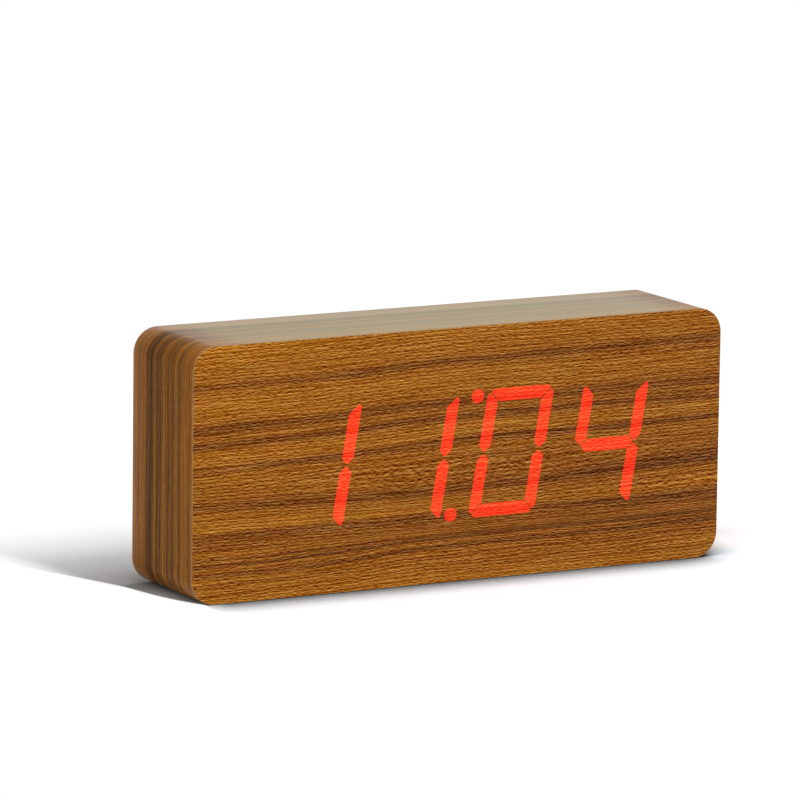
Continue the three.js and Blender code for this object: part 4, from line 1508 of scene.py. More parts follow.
@dataclass
class WoodenCase(SubAssembly):
    """The veneered slab: front sheet, side strip, rear sheet and the milled body in them."""

    width: float = 210
    height: float = 90
    depth: float = 46
    corner: float = 9
    veneer: float = 0.6
    glue: float = 0.1
    seam_x: float = -60
    seam: float = 0.3
    corner_steps: int = 20
    front_rounding: float = 0.15
    front_steps: int = 4
    rear_rounding: float = 0.08
    rear_steps: int = 2
    strip_rounding: float = 0.35
    strip_rounding_steps: int = 3
    strip_break: float = 0.08
    strip_steps: int = 4
    opening_width: float = 169
    opening_height: float = 72.8
    opening_corner: float = 5.3
    opening_steps: int = 10

    def outline(self, inset: float) -> Outline:
        """Gives the case's outline, drawn in by an inset."""
        return rounded_box((0, self.height / 2), self.width - 2 * inset, self.height - 2 * inset,
                           self.corner - inset, self.corner_steps)

    def front_sheet(self) -> Piece:
        """Builds the thin front sheet with the lit segments in its face.

        Returns:
            The sheet.
        """
        front = -self.depth / 2
        maker = MeshMaker().plate(self.outline(0), [], front, front + self.veneer, self.front_rounding,
                                  self.front_steps, Digits().lit())
        finishes = [self.finishes.front_veneer, self.finishes.cut_edge, self.finishes.lit_veneer]
        return self.seat(maker.build("front_sheet", finishes), "front_veneer", "front_veneer")

    def strip_path(self) -> list[tuple[Point2, Point2, float]]:
        """Gives the side strip's path from its seam round to its seam.

        Returns:
            Each point with its outward direction and its length along the strip.
        """
        outline = self.outline(0)
        first = [index for index, (_, z) in enumerate(outline) if z < TINY][0]
        ordered = outline[first + 1:] + outline[:first + 1]
        half = self.seam / 2
        points = [(self.seam_x + half, 0.0)] + ordered + [(self.seam_x - half, 0.0)]
        path = []
        length = 0.0
        for index, (x, z) in enumerate(points):
            if index:
                length += math.dist((x, z), points[index - 1])
            side = min(max(x, self.corner - self.width / 2), self.width / 2 - self.corner)
            rise = min(max(z, self.corner), self.height - self.corner)
            out = Vector((x - side, z - rise))
            out = out.normalized() if out.length > TINY else Vector((0, -1))
            path.append(((x, z), (out.x, out.y), length))
        return path

    def strip_section(self) -> Outline:
        """Gives the outer side of the strip's section, from its front edge to its back edge.

        Returns:
            How far in from the case's outline each corner lies, and its depth.
        """
        front, back, r = -self.depth / 2 + self.veneer + self.glue, self.depth / 2, self.strip_rounding
        section = [(self.veneer, front), (self.strip_break, front), (0.0, front + self.strip_break)]
        steps = self.strip_steps
        section += [(0.0, front + (back - r - front) * k / steps) for k in range(1, steps)]
        steps = self.strip_rounding_steps
        for angle in (math.pi / 2 * k / steps for k in range(steps + 1)):
            section.append((r * (1 - math.cos(angle)), back - r * (1 - math.sin(angle))))
        return section + [(self.veneer, back)]

    def side_strip(self) -> Piece:
        """Builds the strip wrapped round the sides, which keeps its grain in the mesh.

        Returns:
            The strip.
        """
        maker = MeshMaker()
        path = self.strip_path()
        rings = []
        for inset, y in self.strip_section():
            rings.append(maker.ring(
                ((x - out[0] * inset, y, z - out[1] * inset) for (x, z), out, _ in path),
                ((length, y) for _, _, length in path)))
        for index, (ring, after) in enumerate(zip(rings, rings[1:] + rings[:1])):
            cut = index in (0, len(rings) - 2)
            maker.bridge(ring, after, 1 if cut else 0, closed=False)
        maker.face([ring[0] for ring in rings], 1, True)
        maker.face([ring[-1] for ring in reversed(rings)], 1, True)
        strip = maker.build("side_strip", [self.finishes.wrap_veneer, self.finishes.cut_edge])
        return self.seat(strip, "veneer", "side_wrap")

    def rear_sheet(self) -> Piece:
        """Builds the sheet round the rear panel.

        Returns:
            The sheet.
        """
        back = self.depth / 2
        hole = rounded_box((0, self.height / 2), self.opening_width, self.opening_height,
                           self.opening_corner, self.opening_steps)
        maker = MeshMaker().plate(self.outline(self.veneer + self.glue), [hole], back, back - self.veneer,
                                  self.rear_rounding, self.rear_steps)
        sheet = maker.build("rear_sheet", [self.finishes.rear_veneer, self.finishes.cut_edge])
        return self.seat(sheet, "veneer", "rear_veneer")

    def build(self) -> list[Piece]:
        """Builds the three sheets and dresses the milled body."""
        self.dress(self.finishes.fibreboard, "case_body")
        return [self.front_sheet(), self.side_strip(), self.rear_sheet()]


@dataclass
class Display(SubAssembly):
    """The modules behind the front sheet: their solids stay, with their own finishes."""

    def build(self) -> list[Piece]:
        """Dresses the modules, their board and the cables.

        Returns:
            No new pieces.
        """
        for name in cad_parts:
            if "_segment_" in name or name.startswith("colon_"):
                self.dress(self.finishes.lit_resin, name)
            elif name.startswith("digit_"):
                housing = name.endswith("_housing")
                self.dress(self.finishes.housing_plastic if housing else self.finishes.dark_resin, name)
        self.dress(self.finishes.board, "display_board", "control_board")
        self.dress(self.finishes.ribbon, "ribbon_cable")
        self.dress(self.finishes.lead, "battery_lead")
        return []


@dataclass
class RearPanel(SubAssembly):
    """The moulded rear panel with its battery tray, its openings and its posts."""

    width: float = 168.4
    height: float = 72.2
    corner: float = 5
    corner_steps: int = 12
    inner_y: float = 19.2
    edge: float = 0.22
    screw_x: float = 80.2
    screw_rise: float = 32.1
    screw_hole: float = 1.4
    counterbore_radius: float = 3.0
    counterbore_floor: float = 20.7
    button_hole: float = 3.8
    slide_place: Point2 = (-34, 42)
    slide_slot: Point2 = (4.4, 2.6)
    slide_corner: float = 0.4
    inlet_hole: float = 4.5
    voice_place: Point2 = (-49, 42)
    sound_place: Point2 = (-64, 40)
    sound_hole: float = 0.8
    sound_pitch: float = 3
    tray: Point3 = (18.1, 76.0, 24.9)
    tray_back: float = 7.7
    bay: Point3 = (21.2, 71.1, 21.8)
    bay_floor: float = 9.1
    recess: Point3 = (19.8, 74.3, 23.2)
    ledge_y: float = 20.0
    groove_radius: float = 1.6
    hinge_bore: float = 0.9
    hinge_reach: float = 24.6
    scoop_radius: float = 6.5
    scoop_floor: float = 20.7
    ridge_rise: float = 2.1
    ridge_root: float = 0.5
    ridge_half_width: float = 1.6
    ridge_half_crest: float = 0.25
    ridge_half_length: float = 11.12
    ridge_x: float = 46.15
    post_places: tuple[Point2, ...] = ((-26, 63), (-72, 63), (-26, 27), (-72, 27))
    post_radius: float = 2.2
    post_end: float = 10.0
    post_root: float = 0.5
    stake_radius: float = 1.1
    stake_end: float = 7.8
    stake_head_radius: float = 1.9
    stake_head: Point2 = (7.4, 8.2)

    @staticmethod
    def slab(box: Point3, low_y: float, high_y: float) -> MeshMaker:
        """Makes a box from its two X ends and its half height."""
        low_x, high_x, half = box
        return MeshMaker().block((low_x, low_y, MIDDLE_Z - half), (high_x, high_y, MIDDLE_Z + half))

    def openings(self) -> list[MeshMaker]:
        """Makes what is cut out of the panel, in shapes whose parts don't touch each other.

        Returns:
            The shapes, in the order in which they are cut.
        """
        above, below = PANEL_Y + OVERRUN, self.inner_y - OVERRUN
        screws = [(side * self.screw_x, MIDDLE_Z + rise * self.screw_rise) for side in (-1, 1)
                  for rise in (-1, 1)]
        wide = MeshMaker().bars(screws, self.counterbore_radius, 40, self.counterbore_floor, above)
        wide.bars([(x, BUTTON_Z) for x in BUTTON_X.values()], self.button_hole, 48, below, above)
        wide.prism(rounded_box(self.slide_place, *self.slide_slot, self.slide_corner, 4), below, above)
        wide.bars([INLET], self.inlet_hole, 56, below, above)
        sound = [self.voice_place, self.sound_place] + arc(self.sound_place, self.sound_pitch, 0, 300, 5)
        wide.bars(sound, self.sound_hole, 20, below, above)
        narrow = MeshMaker().bars(screws, self.screw_hole, 20, below, above)
        bay = self.slab(self.bay, self.bay_floor, above)
        recess = self.slab(self.recess, self.ledge_y, above)
        groove = hinge_bar(self.groove_radius, 32, self.recess[2])
        groove.bars([(self.recess[0], MIDDLE_Z)], self.scoop_radius, 64, self.scoop_floor, above)
        bore = hinge_bar(self.hinge_bore, 20, self.hinge_reach)
        return [wide, narrow, bay, recess, groove, bore]

    def inner_parts(self) -> list[MeshMaker]:
        """Makes the cradle ridges in the tray and the posts behind the panel.

        Returns:
            The ridges, the posts, the stakes on their ends and the stakes' melted heads.
        """
        ridges = MeshMaker()
        for z in (MIDDLE_Z + step * CELL_PITCH for step in (-1, 0, 1)):
            section = rib(z, self.ridge_half_width, self.ridge_half_crest, self.ridge_root,
                          self.bay_floor, self.ridge_rise)
            ridges.prism(section, self.ridge_x - self.ridge_half_length,
                         self.ridge_x + self.ridge_half_length, Axis.X)
        places = self.post_places
        posts = MeshMaker().bars(places, self.post_radius, 24, self.post_end, self.inner_y + self.post_root)
        stakes = MeshMaker().bars(places, self.stake_radius, 20, self.stake_end, self.post_end + OVERRUN)
        heads = MeshMaker().bars(places, self.stake_head_radius, 24, *self.stake_head)
        return [ridges, posts, stakes, heads]

    def build(self) -> list[Piece]:
        """Builds the panel.

        Returns:
            The panel.
        """
        sheet = MeshMaker().prism(rounded_box((0, MIDDLE_Z), self.width, self.height, self.corner,
                                              self.corner_steps), self.inner_y, PANEL_Y)
        steps = [(Fit.JOIN, self.slab(self.tray, self.tray_back, self.inner_y + OVERRUN))]
        steps += [(Fit.CUT, opening) for opening in self.openings()]
        steps += [(Fit.JOIN, part) for part in self.inner_parts()]
        panel = shaped(sheet, steps, "panel_shell", [self.finishes.panel_plastic])
        return [self.seat(soften(panel, self.edge), "black_plastic", "rear_panel")]


@dataclass
class PanelScrews(SubAssembly):
    """The four pan-head screws that hold the rear panel, each with a cross recess."""

    head_radius: float = 2.8
    head_height: float = 1.4
    head_break: float = 0.12
    head_rounding: Point2 = (0.85, 0.75)
    crown: Point2 = (1.5, 0.01)
    shank_radius: float = 1.2
    shank_end_y: float = 11.8
    point_radius: float = 0.3
    point_length: float = 1.2
    thread_pitch: float = 1.0
    thread_depth: float = 0.35
    plain_length: float = 0.9
    plain_cut: float = 0.1
    wing_length: float = 1.55
    wing_half_width: float = 0.42
    recess_levels: tuple[Point2, ...] = ((1.0, 0.3), (1.0, -0.15), (0.78, -1.0))
    turns: tuple[float, ...] = (12, 57, 33, 74)

    def profile(self) -> Outline:
        """Works out the turned profile, from the point to the middle of the head.

        Returns:
            Radius and depth of each step.
        """
        r, low, shank = self.head_radius, PANEL_Y - self.head_height, self.shank_radius
        root = shank - self.thread_depth
        profile = [(0, self.shank_end_y), (self.point_radius, self.shank_end_y)]
        y = self.shank_end_y + self.point_length
        while y < low - self.plain_length:
            profile += [(root, y), (shank, y + self.thread_depth), (root, y + 2 * self.thread_depth)]
            y += self.thread_pitch
        profile += [(shank - self.plain_cut, low), (r - self.head_break, low), (r, low + self.head_break),
                    (r, PANEL_Y - self.head_rounding[1])]
        profile += rounded_rim(r, PANEL_Y, *self.head_rounding, 20, 40, 60, 80)
        return profile + [(self.crown[0], PANEL_Y - self.crown[1]), (0, PANEL_Y)]

    def recess(self, place: Point2, turn: float) -> MeshMaker:
        """Makes the tapered cross that is cut from a head.

        Args:
            place: The screw's place, in X and Z.
            turn: How far the cross is turned, in degrees.

        Returns:
            The cross.
        """
        cross = MeshMaker()
        w, end = self.wing_half_width, self.wing_length
        wing = [(-w, end), (-w, w), (-end, w), (-end, -w), (-w, -w), (-w, -end)]
        outline = wing + flipped(wing, -1, -1)
        c, s = math.cos(math.radians(turn)), math.sin(math.radians(turn))
        turned = [(u * c - v * s, u * s + v * c) for u, v in outline]
        (x, z), rings = place, []
        for share, rise in self.recess_levels:
            rings.append(cross.ring((x + share * u, PANEL_Y + rise, z + share * v) for u, v in turned))
        # Slot 1 gives the recess walls the darker steel, painted shade.
        cross.bar(rings, 1)
        return cross

    def screw(self, number: int, turn: float) -> Piece:
        """Builds one screw where its solid stands.

        Args:
            number: Which screw it is.
            turn: How far its recess is turned, in degrees.

        Returns:
            The screw.
        """
        low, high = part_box(f"panel_screw_{number}")
        place = ((low.x + high.x) / 2 / MM, (low.z + high.z) / 2 / MM)
        body = MeshMaker().lathe(self.profile(), 40, Matrix.Translation((place[0], 0, place[1])))
        made = shaped(body, [(Fit.CUT, self.recess(place, turn))], f"cross_screw_{number}",
                      [self.finishes.dark_steel, self.finishes.recess_painted_shade_steel])
        shade_round(made)
        return self.seat(made, "steel", f"panel_screw_{number}")

    def build(self) -> list[Piece]:
        """Builds the four screws."""
        return [self.screw(number, turn) for number, turn in enumerate(self.turns, 1)]


@dataclass
class BatteryDoor(SubAssembly):
    """The battery door with its hinge barrel, latch tongue and finger grips."""

    low_x: float = 20.1
    half_height: float = 22.9
    inner_y: float = 20.2
    barrel_radius: float = 1.3
    pin_radius: float = 0.7
    pin_reach: float = 24.3
    latch_length: float = 8
    latch_slot: float = 0.8
    latch_middle: float = 5.9
    grip_width: float = 0.8
    grip_crest_share: float = 0.5
    grip_pitch: float = 1.8
    grip_half_length: float = 4.7
    grip_rise: float = 0.4
    grip_root: float = 0.4
    edge: float = 0.2
    mark_x: float = 30.5
    mark_length: float = 3.4
    mark_half_width: float = 2.2
    mark_depth: float = 0.25

    def grips(self) -> MeshMaker:
        """Makes the three ribs for a finger.

        Returns:
            The ribs.
        """
        maker = MeshMaker()
        half = self.grip_width / 2
        crest = half * self.grip_crest_share
        for x in (self.low_x + self.grip_pitch * number for number in (1, 2, 3)):
            section = rib(x, half, crest, self.grip_root, PANEL_Y, self.grip_rise)
            maker.prism(section, MIDDLE_Z - self.grip_half_length, MIDDLE_Z + self.grip_half_length, Axis.Z)
        return maker

    def latch_slots(self) -> MeshMaker:
        """Makes the two slots that free the latch tongue.

        Returns:
            The slots, as they are cut.
        """
        maker = MeshMaker()
        start, half = self.low_x - OVERRUN, self.latch_slot / 2
        for z in (MIDDLE_Z - self.latch_middle, MIDDLE_Z + self.latch_middle):
            end = arc((self.low_x + self.latch_length - half, z), half, -90, 90, 8)
            maker.prism([(start, z - half)] + end + [(start, z + half)],
                        self.inner_y - OVERRUN, PANEL_Y + OVERRUN)
        return maker

    def build(self) -> list[Piece]:
        """Builds the door.

        Returns:
            The door.
        """
        sheet = MeshMaker().block((self.low_x, self.inner_y, MIDDLE_Z - self.half_height),
                                  (HINGE[0], PANEL_Y, MIDDLE_Z + self.half_height))
        arrow = [(self.mark_x, MIDDLE_Z - self.mark_half_width), (self.mark_x + self.mark_length, MIDDLE_Z),
                 (self.mark_x, MIDDLE_Z + self.mark_half_width)]
        mark = MeshMaker().prism(arrow, PANEL_Y - self.mark_depth, PANEL_Y + OVERRUN, slot=1)
        steps = [(Fit.JOIN, hinge_bar(self.barrel_radius, 40, self.half_height)),
                 (Fit.JOIN, hinge_bar(self.pin_radius, 20, self.pin_reach)),
                 (Fit.JOIN, self.grips()), (Fit.CUT, self.latch_slots()), (Fit.CUT, mark)]
        door = shaped(sheet, steps, "battery_cover", [self.finishes.door_plastic, self.finishes.mark_ink])
        return [self.seat(soften(door, self.edge), "black_plastic", "battery_door", "battery_door")]


@dataclass
class Batteries(SubAssembly):
    """Four dry cells in plain sleeves, and the contacts at their ends."""

    count: int = 4
    radius: float = 5.25
    length: float = 44.5
    tip_radius: float = 1.9
    tip_height: float = 0.8
    shrink: float = 0.5
    band: float = 9.0
    band_step: float = 0.3
    band_sink: float = 0.06
    base: Curve = ((0, 0.1), (3.6, 0.1), (3.8, 0.0), (4.2, 0.0), (4.35, 0.12))
    base_edge: Curve = ((0.5, 0.12), (0.25, 0.15), (0.0, 0.45))
    top_edge: Curve = ((0.25, 0.12), (0.6, 0.0))
    top_groove: Curve = ((4.5, 0.0), (4.35, 0.2), (2.6, 0.2), (2.4, 0.1))
    tip_edge: Curve = ((0.0, 0.25), (0.07, 0.07), (0.25, 0.0))
    middle_y: float = 14.65
    first_z: float = 61.35
    even_x: float = 24.9
    odd_x: float = 67.4
    crease: float = 30

    def profile(self) -> tuple[Outline, list[int]]:
        """Works out a cell's turned profile, from its base to its tip.

        Returns:
            Radius and depth of each step, and the finish of each band: 0 for the sleeve, 1 for its
            pale band and 2 for bare steel.
        """
        r, tip, shoulder = self.radius, self.tip_radius, self.length - self.tip_height
        wall = r - self.band_sink
        sleeve = [(r - cut, rise) for cut, rise in self.base_edge]
        sleeve += [(r, shoulder - self.band - self.band_step)]
        band = [(wall, shoulder - self.band), (wall, shoulder - self.shrink)]
        band += [(r - cut, shoulder - drop) for cut, drop in self.top_edge]
        top = [(radius, shoulder - sink) for radius, sink in self.top_groove] + [(tip, shoulder)]
        top += [(tip - cut, self.length - drop) for cut, drop in self.tip_edge] + [(0, self.length)]
        slots = [2] * len(self.base) + [0] * (len(sleeve) - 1) + [1] * (len(band) + 1) + [2] * (len(top) - 1)
        return [*self.base, *sleeve, *band, *top], slots

    def cell(self, index: int) -> Piece:
        """Builds one cell.

        Args:
            index: Its place in the row, from the top.

        Returns:
            The cell.
        """
        forward = index % 2 == 0
        place = (self.even_x if forward else self.odd_x, self.middle_y, self.first_z - CELL_PITCH * index)
        turn = Matrix.Translation(place) @ Matrix.Rotation(math.radians(-90 if forward else 90), 4, "Z")
        profile, slots = self.profile()
        maker = MeshMaker().lathe(profile, 56, turn, slots)
        finishes = [self.finishes.sleeve, self.finishes.sleeve_band, self.finishes.steel]
        cell = maker.build(f"dry_cell_{index + 1}", finishes, self.crease)
        return self.seat(cell, "cell_jacket", f"battery_cell_{index + 1}")

    def build(self) -> list[Piece]:
        """Builds the cells and dresses the contacts."""
        self.dress(self.finishes.nickel, "battery_contact_plus", "battery_contact_minus",
                   "battery_link_1", "battery_link_2", "battery_link_3")
        return [self.cell(index) for index in range(self.count)]


@dataclass
class Controls(SubAssembly):
    """The buttons, the slide switch's knob and the power inlet, and what they work on."""

    cap_radius: float = 3.5
    cap_top: float = 22.9
    cap_edge: float = 0.5
    cap_hollow: Curve = ((2.4, 0.05), (1.6, 0.12), (0.8, 0.16), (0, 0.17))
    flange_radius: float = 4.8
    flange: Point2 = (18.1, 18.9)
    flange_break: float = 0.12
    stem_radius: float = 1.6
    stem_end: float = 12.6
    stem_break: float = 0.2
    mark_sink: float = 0.34
    ring_radius: float = 1.1
    arrow: Curve = ((-1.3, -0.8), (1.3, -0.8), (0.0, 1.3))
    knob_place: Point2 = (-35, 42)
    knob_size: Point2 = (1.8, 2.0)
    knob_span: Point2 = (13.7, 22.6)
    knob_break: Point2 = (0.12, 0.2)
    knob_groove: Point2 = (0.12, 0.25)
    knob_pitch: float = 0.45
    knob_edge: float = 0.04
    inlet_side: float = 11
    inlet_corner: float = 0.5
    inlet_span: Point2 = (10.0, 18.9)
    inlet_edge: float = 0.15
    collar_radius: float = 4.2
    collar_top: float = 22.0
    bore_radius: float = 3.1
    bore_floor: float = 12.5
    sleeve_play: float = 0.02
    sleeve_inner: float = 2.86
    sleeve_sink: float = 0.5
    sleeve_flare: Point2 = (0.08, 0.1)
    pin_radius: float = 1.0
    pin_root: float = 0.4
    pin_top: float = 21.0
    pin_nose: Curve = ((0.0, 0.6), (0.12, 0.25), (0.35, 0.06), (0.6, 0.0))

    def cap_profile(self) -> Outline:
        """Works out a button's turned profile, from its stem to the middle of its hollow cap.

        Returns:
            Radius and depth of each step.
        """
        r, e, top, stem = self.cap_radius, self.cap_edge, self.cap_top, self.stem_radius
        (low, high), flange, cut = self.flange, self.flange_radius, self.flange_break
        profile = [(0, self.stem_end), (stem - self.stem_break, self.stem_end),
                   (stem, self.stem_end + self.stem_break), (stem, low), (flange - cut, low),
                   (flange, low + cut), (flange, high - cut), (flange - cut, high), (r, high), (r, top - e)]
        profile += rounded_rim(r, top, e, e, *range(15, 91, 15))
        return profile + [(radius, top - sink) for radius, sink in self.cap_hollow]

    def button(self, name: str, mark: Outline) -> Piece:
        """Builds one button with a slightly hollow cap and a sunk mark.

        Args:
            name: The button's node and body.
            mark: The outline of the mark about the cap's middle.

        Returns:
            The button.
        """
        x = BUTTON_X[name]
        cap = MeshMaker().lathe(self.cap_profile(), 64, Matrix.Translation((x, 0, BUTTON_Z)))
        sunk = MeshMaker().prism([(x + u, BUTTON_Z + v) for u, v in mark], self.cap_top - self.mark_sink,
                                 self.cap_top + OVERRUN / 2, slot=1)
        made = shaped(cap, [(Fit.CUT, sunk)], name.replace("button", "key_cap"),
                      [self.finishes.key_plastic, self.finishes.mark_ink])
        shade_round(made)
        return self.seat(made, "grey_plastic", name, name)

    def knob(self) -> Piece:
        """Builds the slide switch's knob, with three grooves across its top.

        Returns:
            The knob.
        """
        x, z = self.knob_place
        half_w, half_d = self.knob_size[0] / 2, self.knob_size[1] / 2
        low, top = self.knob_span
        (cut, drop), (reach, sink) = self.knob_break, self.knob_groove
        teeth = [(-half_w, low), (half_w, low), (half_w, top - drop), (half_w - cut, top)]
        for middle in (self.knob_pitch, 0.0, -self.knob_pitch):
            teeth += [(middle + reach, top), (middle + reach / 2, top - sink),
                      (middle - reach / 2, top - sink), (middle - reach, top)]
        teeth += [(cut - half_w, top), (-half_w, top - drop)]
        maker = MeshMaker().prism([(x + u, y) for u, y in teeth], z - half_d, z + half_d, Axis.Z)
        made = soften(maker.build("slide_knob", [self.finishes.knob_plastic]), self.knob_edge)
        return self.seat(made, "grey_plastic", "sound_switch_knob", "sound_switch_knob")

    def inlet_housing(self) -> Piece:
        """Builds the power inlet's housing.

        Returns:
            The housing.
        """
        top = self.inlet_span[1]
        base = MeshMaker().prism(rounded_box(INLET, self.inlet_side, self.inlet_side, self.inlet_corner, 4),
                                 *self.inlet_span)
        collar = MeshMaker().bars([INLET], self.collar_radius, 56, top - OVERRUN, self.collar_top)
        bore = MeshMaker().bars([INLET], self.bore_radius, 56, self.bore_floor, self.collar_top + OVERRUN)
        housing = shaped(base, [(Fit.JOIN, collar), (Fit.CUT, bore)], "inlet_housing",
                         [self.finishes.part_plastic])
        return self.seat(soften(housing, self.inlet_edge), "black_plastic", "dc_jack")

    def inlet_contacts(self) -> Piece:
        """Builds the thin sleeve in the inlet's bore and the pin in its middle.

        Returns:
            The contacts.
        """
        maker = MeshMaker()
        outer, inner = self.bore_radius - self.sleeve_play, self.sleeve_inner
        low, high = self.bore_floor + self.sleeve_play, self.collar_top - self.sleeve_sink
        flare, rise = self.sleeve_flare
        section = [(inner, low), (outer, low), (outer, high), (outer - flare, high + rise), (inner, high)]
        rings = [maker.ring((u, y, v) for u, v in circle(INLET, radius, 56)) for radius, y in section]
        for ring, after in zip(rings, rings[1:] + rings[:1]):
            maker.bridge(ring, after)
        r, root = self.pin_radius, self.bore_floor - self.pin_root
        pin = [(0, root), (r, root)] + [(r - cut, self.pin_top - drop) for cut, drop in self.pin_nose]
        maker.lathe(pin + [(0, self.pin_top)], 32, Matrix.Translation((INLET[0], 0, INLET[1])))
        contacts = maker.build("inlet_contacts", [self.finishes.nickel])
        return self.seat(contacts, "nickel", "dc_jack")

    def build(self) -> list[Piece]:
        """Builds the controls and dresses the parts behind them.

        Returns:
            The pieces.
        """
        self.dress(self.finishes.part_plastic, "set_key_switch", "up_key_switch", "down_key_switch",
                   "sound_switch", "buzzer", "microphone", "coin_cell_holder")
        self.dress(self.finishes.steel, "coin_cell")
        up = list(self.arrow)
        marks = (circle((0, 0), self.ring_radius, 32), up, flipped(up[::-1]))
        buttons = [self.button(name, mark) for name, mark in zip(BUTTON_X, marks)]
        return buttons + [self.knob(), self.inlet_housing(), self.inlet_contacts()]


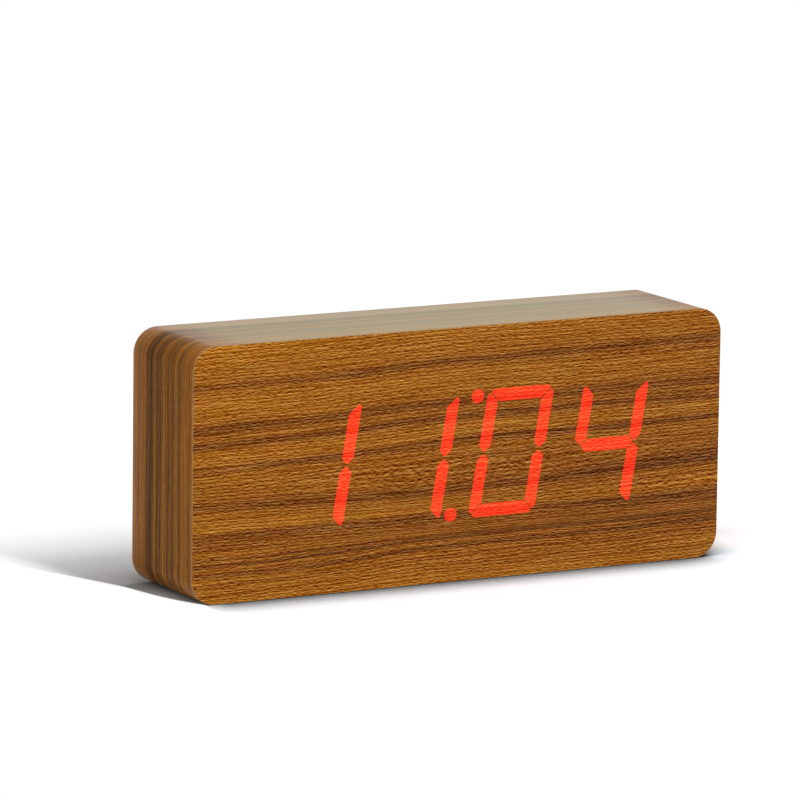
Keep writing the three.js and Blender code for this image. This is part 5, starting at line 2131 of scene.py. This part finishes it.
@dataclass
class Surroundings:
    """The white studio: floor, world, one tall soft light and the camera of the photograph."""

    world_level: float = 0.52
    key_level: float = 0.575
    key_azimuth: float = 15
    key_elevation: float = 52
    key_distance: float = 8000
    key_width: float = 215
    key_height: float = 3730
    key_target: Point3 = (0, 0, 30)
    lens: float = 300.46
    sensor: float = 36
    camera_distance: float = 2339.12
    camera_reach: float = 100
    target: Point3 = (-11.973, 0.0, 61.383)
    azimuth: float = -28.759
    elevation: float = 10.142
    roll: float = 0.7527
    floor_half: float = 6000
    floor_drop: float = 0.2
    floor_bounce: float = 0.85
    dust_level: float = 0.99
    dust_share: float = 0.1
    white_span: Point2 = (250, 800)
    # Painted shade on the floor: a contact shade from ambient occlusion, whose curve also lifts the open
    # floor above 1, and a painted shadow behind the clock.
    contact_reach: float = 28
    painted_contact_shades: Curve = (
        (0.0, 0.02), (0.40, 0.11), (0.48, 0.17), (0.55, 0.27), (0.615, 0.46), (0.685, 0.70),
        (0.72, 0.83), (0.81, 1.10), (0.88, 1.19), (0.97, 1.17), (1.0, 1.16))
    left_painted_shade_lift: Point3 = (-88, -98, 0.66)
    painted_behind_shades: Curve = (
        (0, 0.0), (10, 0.20), (20, 0.38), (35, 0.36), (42, 0.26), (52, 0.13), (62, 0.03), (80, 0.0))
    behind_span: Point2 = (150, 100)
    # Painted cool tint near the front of the clock, cancelling the warm light that the wood bounces onto the
    # floor.
    painted_bounce_cancel_shares: Curve = ((-140, 0.0), (-90, 0.4), (-50, 0.9), (-23, 1.0), (-10, 0.0))
    painted_bounce_cancel_color: Color = (0.98, 1.05, 1.095, 1.0)
    # In front of this border the floor is painted white over the lamp's shadow: painted light.
    shadow_border: Curve = (
        (-60, -98.5), (-23, -98.5), (-16, -101), (-10.7, -103.2), (-1.8, -106), (8.7, -108.2),
        (18.5, -110.2), (25.3, -112.5), (57.4, -123.9), (300, -211.5))
    border_span: Point2 = (0.7, -1.4)

    @staticmethod
    def direction(azimuth: float, elevation: float) -> Vector:
        """Gives the direction to a place so many degrees right of the clock's front and above it."""
        a, e = math.radians(azimuth), math.radians(elevation)
        return Vector((math.sin(a) * math.cos(e), -math.cos(a) * math.cos(e), math.sin(e)))

    def camera(self) -> None:
        """Sets up the camera of the photograph."""
        back = self.direction(self.azimuth, self.elevation)
        right = Vector((-back.y, back.x, 0)).normalized()
        up = back.cross(right)
        roll = math.radians(self.roll)
        across = right * math.cos(roll) + up * math.sin(roll)
        above = up * math.cos(roll) - right * math.sin(roll)
        data = bpy.data.cameras.new("photo_camera")
        data.lens = self.lens
        data.sensor_width = self.sensor
        data.clip_end = self.camera_reach
        camera = linked("photo_camera", data)
        spin = Matrix((across, above, back)).transposed().to_4x4()
        spin.translation = (Vector(self.target) + back * self.camera_distance) * MM
        camera.matrix_world = spin
        bpy.context.scene.camera = camera

    def key_light(self) -> None:
        """Sets up the tall, narrow soft light in front of the clock."""
        towards = self.direction(self.key_azimuth, self.key_elevation)
        data = bpy.data.lights.new("key_light", "AREA")
        data.shape = "RECTANGLE"
        data.size = self.key_width * MM
        data.size_y = self.key_height * MM
        data.energy = self.key_level * (math.pi * self.key_distance * MM) ** 2
        light = linked("key_light", data)
        light.rotation_mode = "QUATERNION"
        light.rotation_quaternion = towards.to_track_quat("Z", "Y")
        light.location = (Vector(self.key_target) + towards * self.key_distance) * MM

    def painted_floor_shade(self, g: Graph, x: Value, y: Value) -> Socket:
        """Writes the painted shade of the floor near the clock: a contact shade from ambient occlusion,
        lightened at the left end, and a painted shadow behind the clock.

        Args:
            g: The graph to write in.
            x: The place along X.
            y: The place along Y.

        Returns:
            The share of the light that the painted shade keeps.
        """
        # Painted contact shade, lightened at the left end, times a painted shadow behind the clock.
        contact = g.add("ShaderNodeAmbientOcclusion", {"Distance": self.contact_reach * MM}, samples=8)
        near = g.larger(g.curve(contact.outputs["AO"], self.painted_contact_shades), g.smooth(x, *self.left_painted_shade_lift))
        beside = g.smooth(g.calc("ABSOLUTE", x), *self.behind_span)
        return g.times(near, g.minus(1.0, g.times(g.curve(y, self.painted_behind_shades), beside)))

    def floor_material(self) -> Material:
        """Makes the floor: matt near the clock under painted shade and a painted cool tint, white further
        out, and painted light in front of the shadow border, over the lamp's own shadow there.

        Returns:
            The material.
        """
        g = Graph.of("studio_floor")
        seen = g.seen()
        where = g.add("ShaderNodeNewGeometry").outputs["Position"]
        x, y, z = g.parts(where)
        dust = g.ramp(g.scaled(g.noise(where), self.dust_share, 0.5),
                      [(0.0, shaded(WHITE, self.dust_level)), (1.0, WHITE)])
        level = g.mix(seen, shaded(WHITE, self.floor_bounce), dust)
        # Painted cool tint against the wood's warm bounce light.
        bounce_cancelled = g.mix(g.times(seen, g.curve(y, self.painted_bounce_cancel_shares)), level, self.painted_bounce_cancel_color)
        shade = g.add("ShaderNodeMix", {0: seen, 2: 1.0, 3: self.painted_floor_shade(g, x, y)}).outputs[0]
        matt = g.add("ShaderNodeBsdfDiffuse", {"Color": g.grown(bounce_cancelled, shade)})
        white = g.add("ShaderNodeEmission", {"Color": WHITE, "Strength": 1.0})
        far = g.add("ShaderNodeVectorMath", {0: g.point(x, y, z)}, operation="LENGTH").outputs["Value"]
        # Painted light: the floor turns white in front of the shadow border, over the lamp's real shadow.
        clear = g.smooth(g.minus(x, g.curve(y, self.shadow_border)), *self.border_span)
        white_and_painted_light = g.times(seen, g.larger(g.smooth(far, *self.white_span), clear))
        blend = g.add("ShaderNodeMixShader", {0: white_and_painted_light, 1: matt.outputs[0], 2: white.outputs[0]})
        g.add("ShaderNodeOutputMaterial", {"Surface": blend.outputs[0]})
        return g.owner

    def floor(self) -> None:
        """Lays the pale floor."""
        half, z = self.floor_half * MM, -self.floor_drop * MM
        mesh = bpy.data.meshes.new("studio_floor")
        mesh.from_pydata([(-half, -half, z), (half, -half, z), (half, half, z), (-half, half, z)],
                         [], [(0, 1, 2, 3)])
        mesh.materials.append(self.floor_material())
        floor = linked("studio_floor", mesh)

    def world(self) -> None:
        """Sets the even white surroundings, dimmer for the light they give than as they are seen."""
        world = bpy.data.worlds.new("studio_world")
        g = Graph(world)
        strength = g.add("ShaderNodeMapRange", {"Value": g.seen(), "To Min": self.world_level})
        back = g.add("ShaderNodeBackground", {"Color": WHITE, "Strength": strength.outputs[0]})
        g.add("ShaderNodeOutputWorld", {"Surface": back.outputs[0]})
        bpy.context.scene.world = world

    def build(self) -> None:
        """Sets up camera, floor, world and light."""
        bpy.context.scene.view_settings.view_transform = "Standard"
        self.camera()
        self.floor()
        self.world()
        self.key_light()


def main() -> None:
    """Builds the studio and then the clock, and reports each piece."""
    logging.basicConfig(level=logging.INFO, format="%(name)s: %(message)s")
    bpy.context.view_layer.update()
    Surroundings().build()
    finishes = Finishes()
    for group in (WoodenCase, Display, RearPanel, PanelScrews, BatteryDoor, Batteries, Controls):
        for piece in group(finishes).build():
            log.info("%s: %s, %d faces", group.__name__, piece.name, len(piece.data.polygons))


if __name__ == "__main__":
    main()
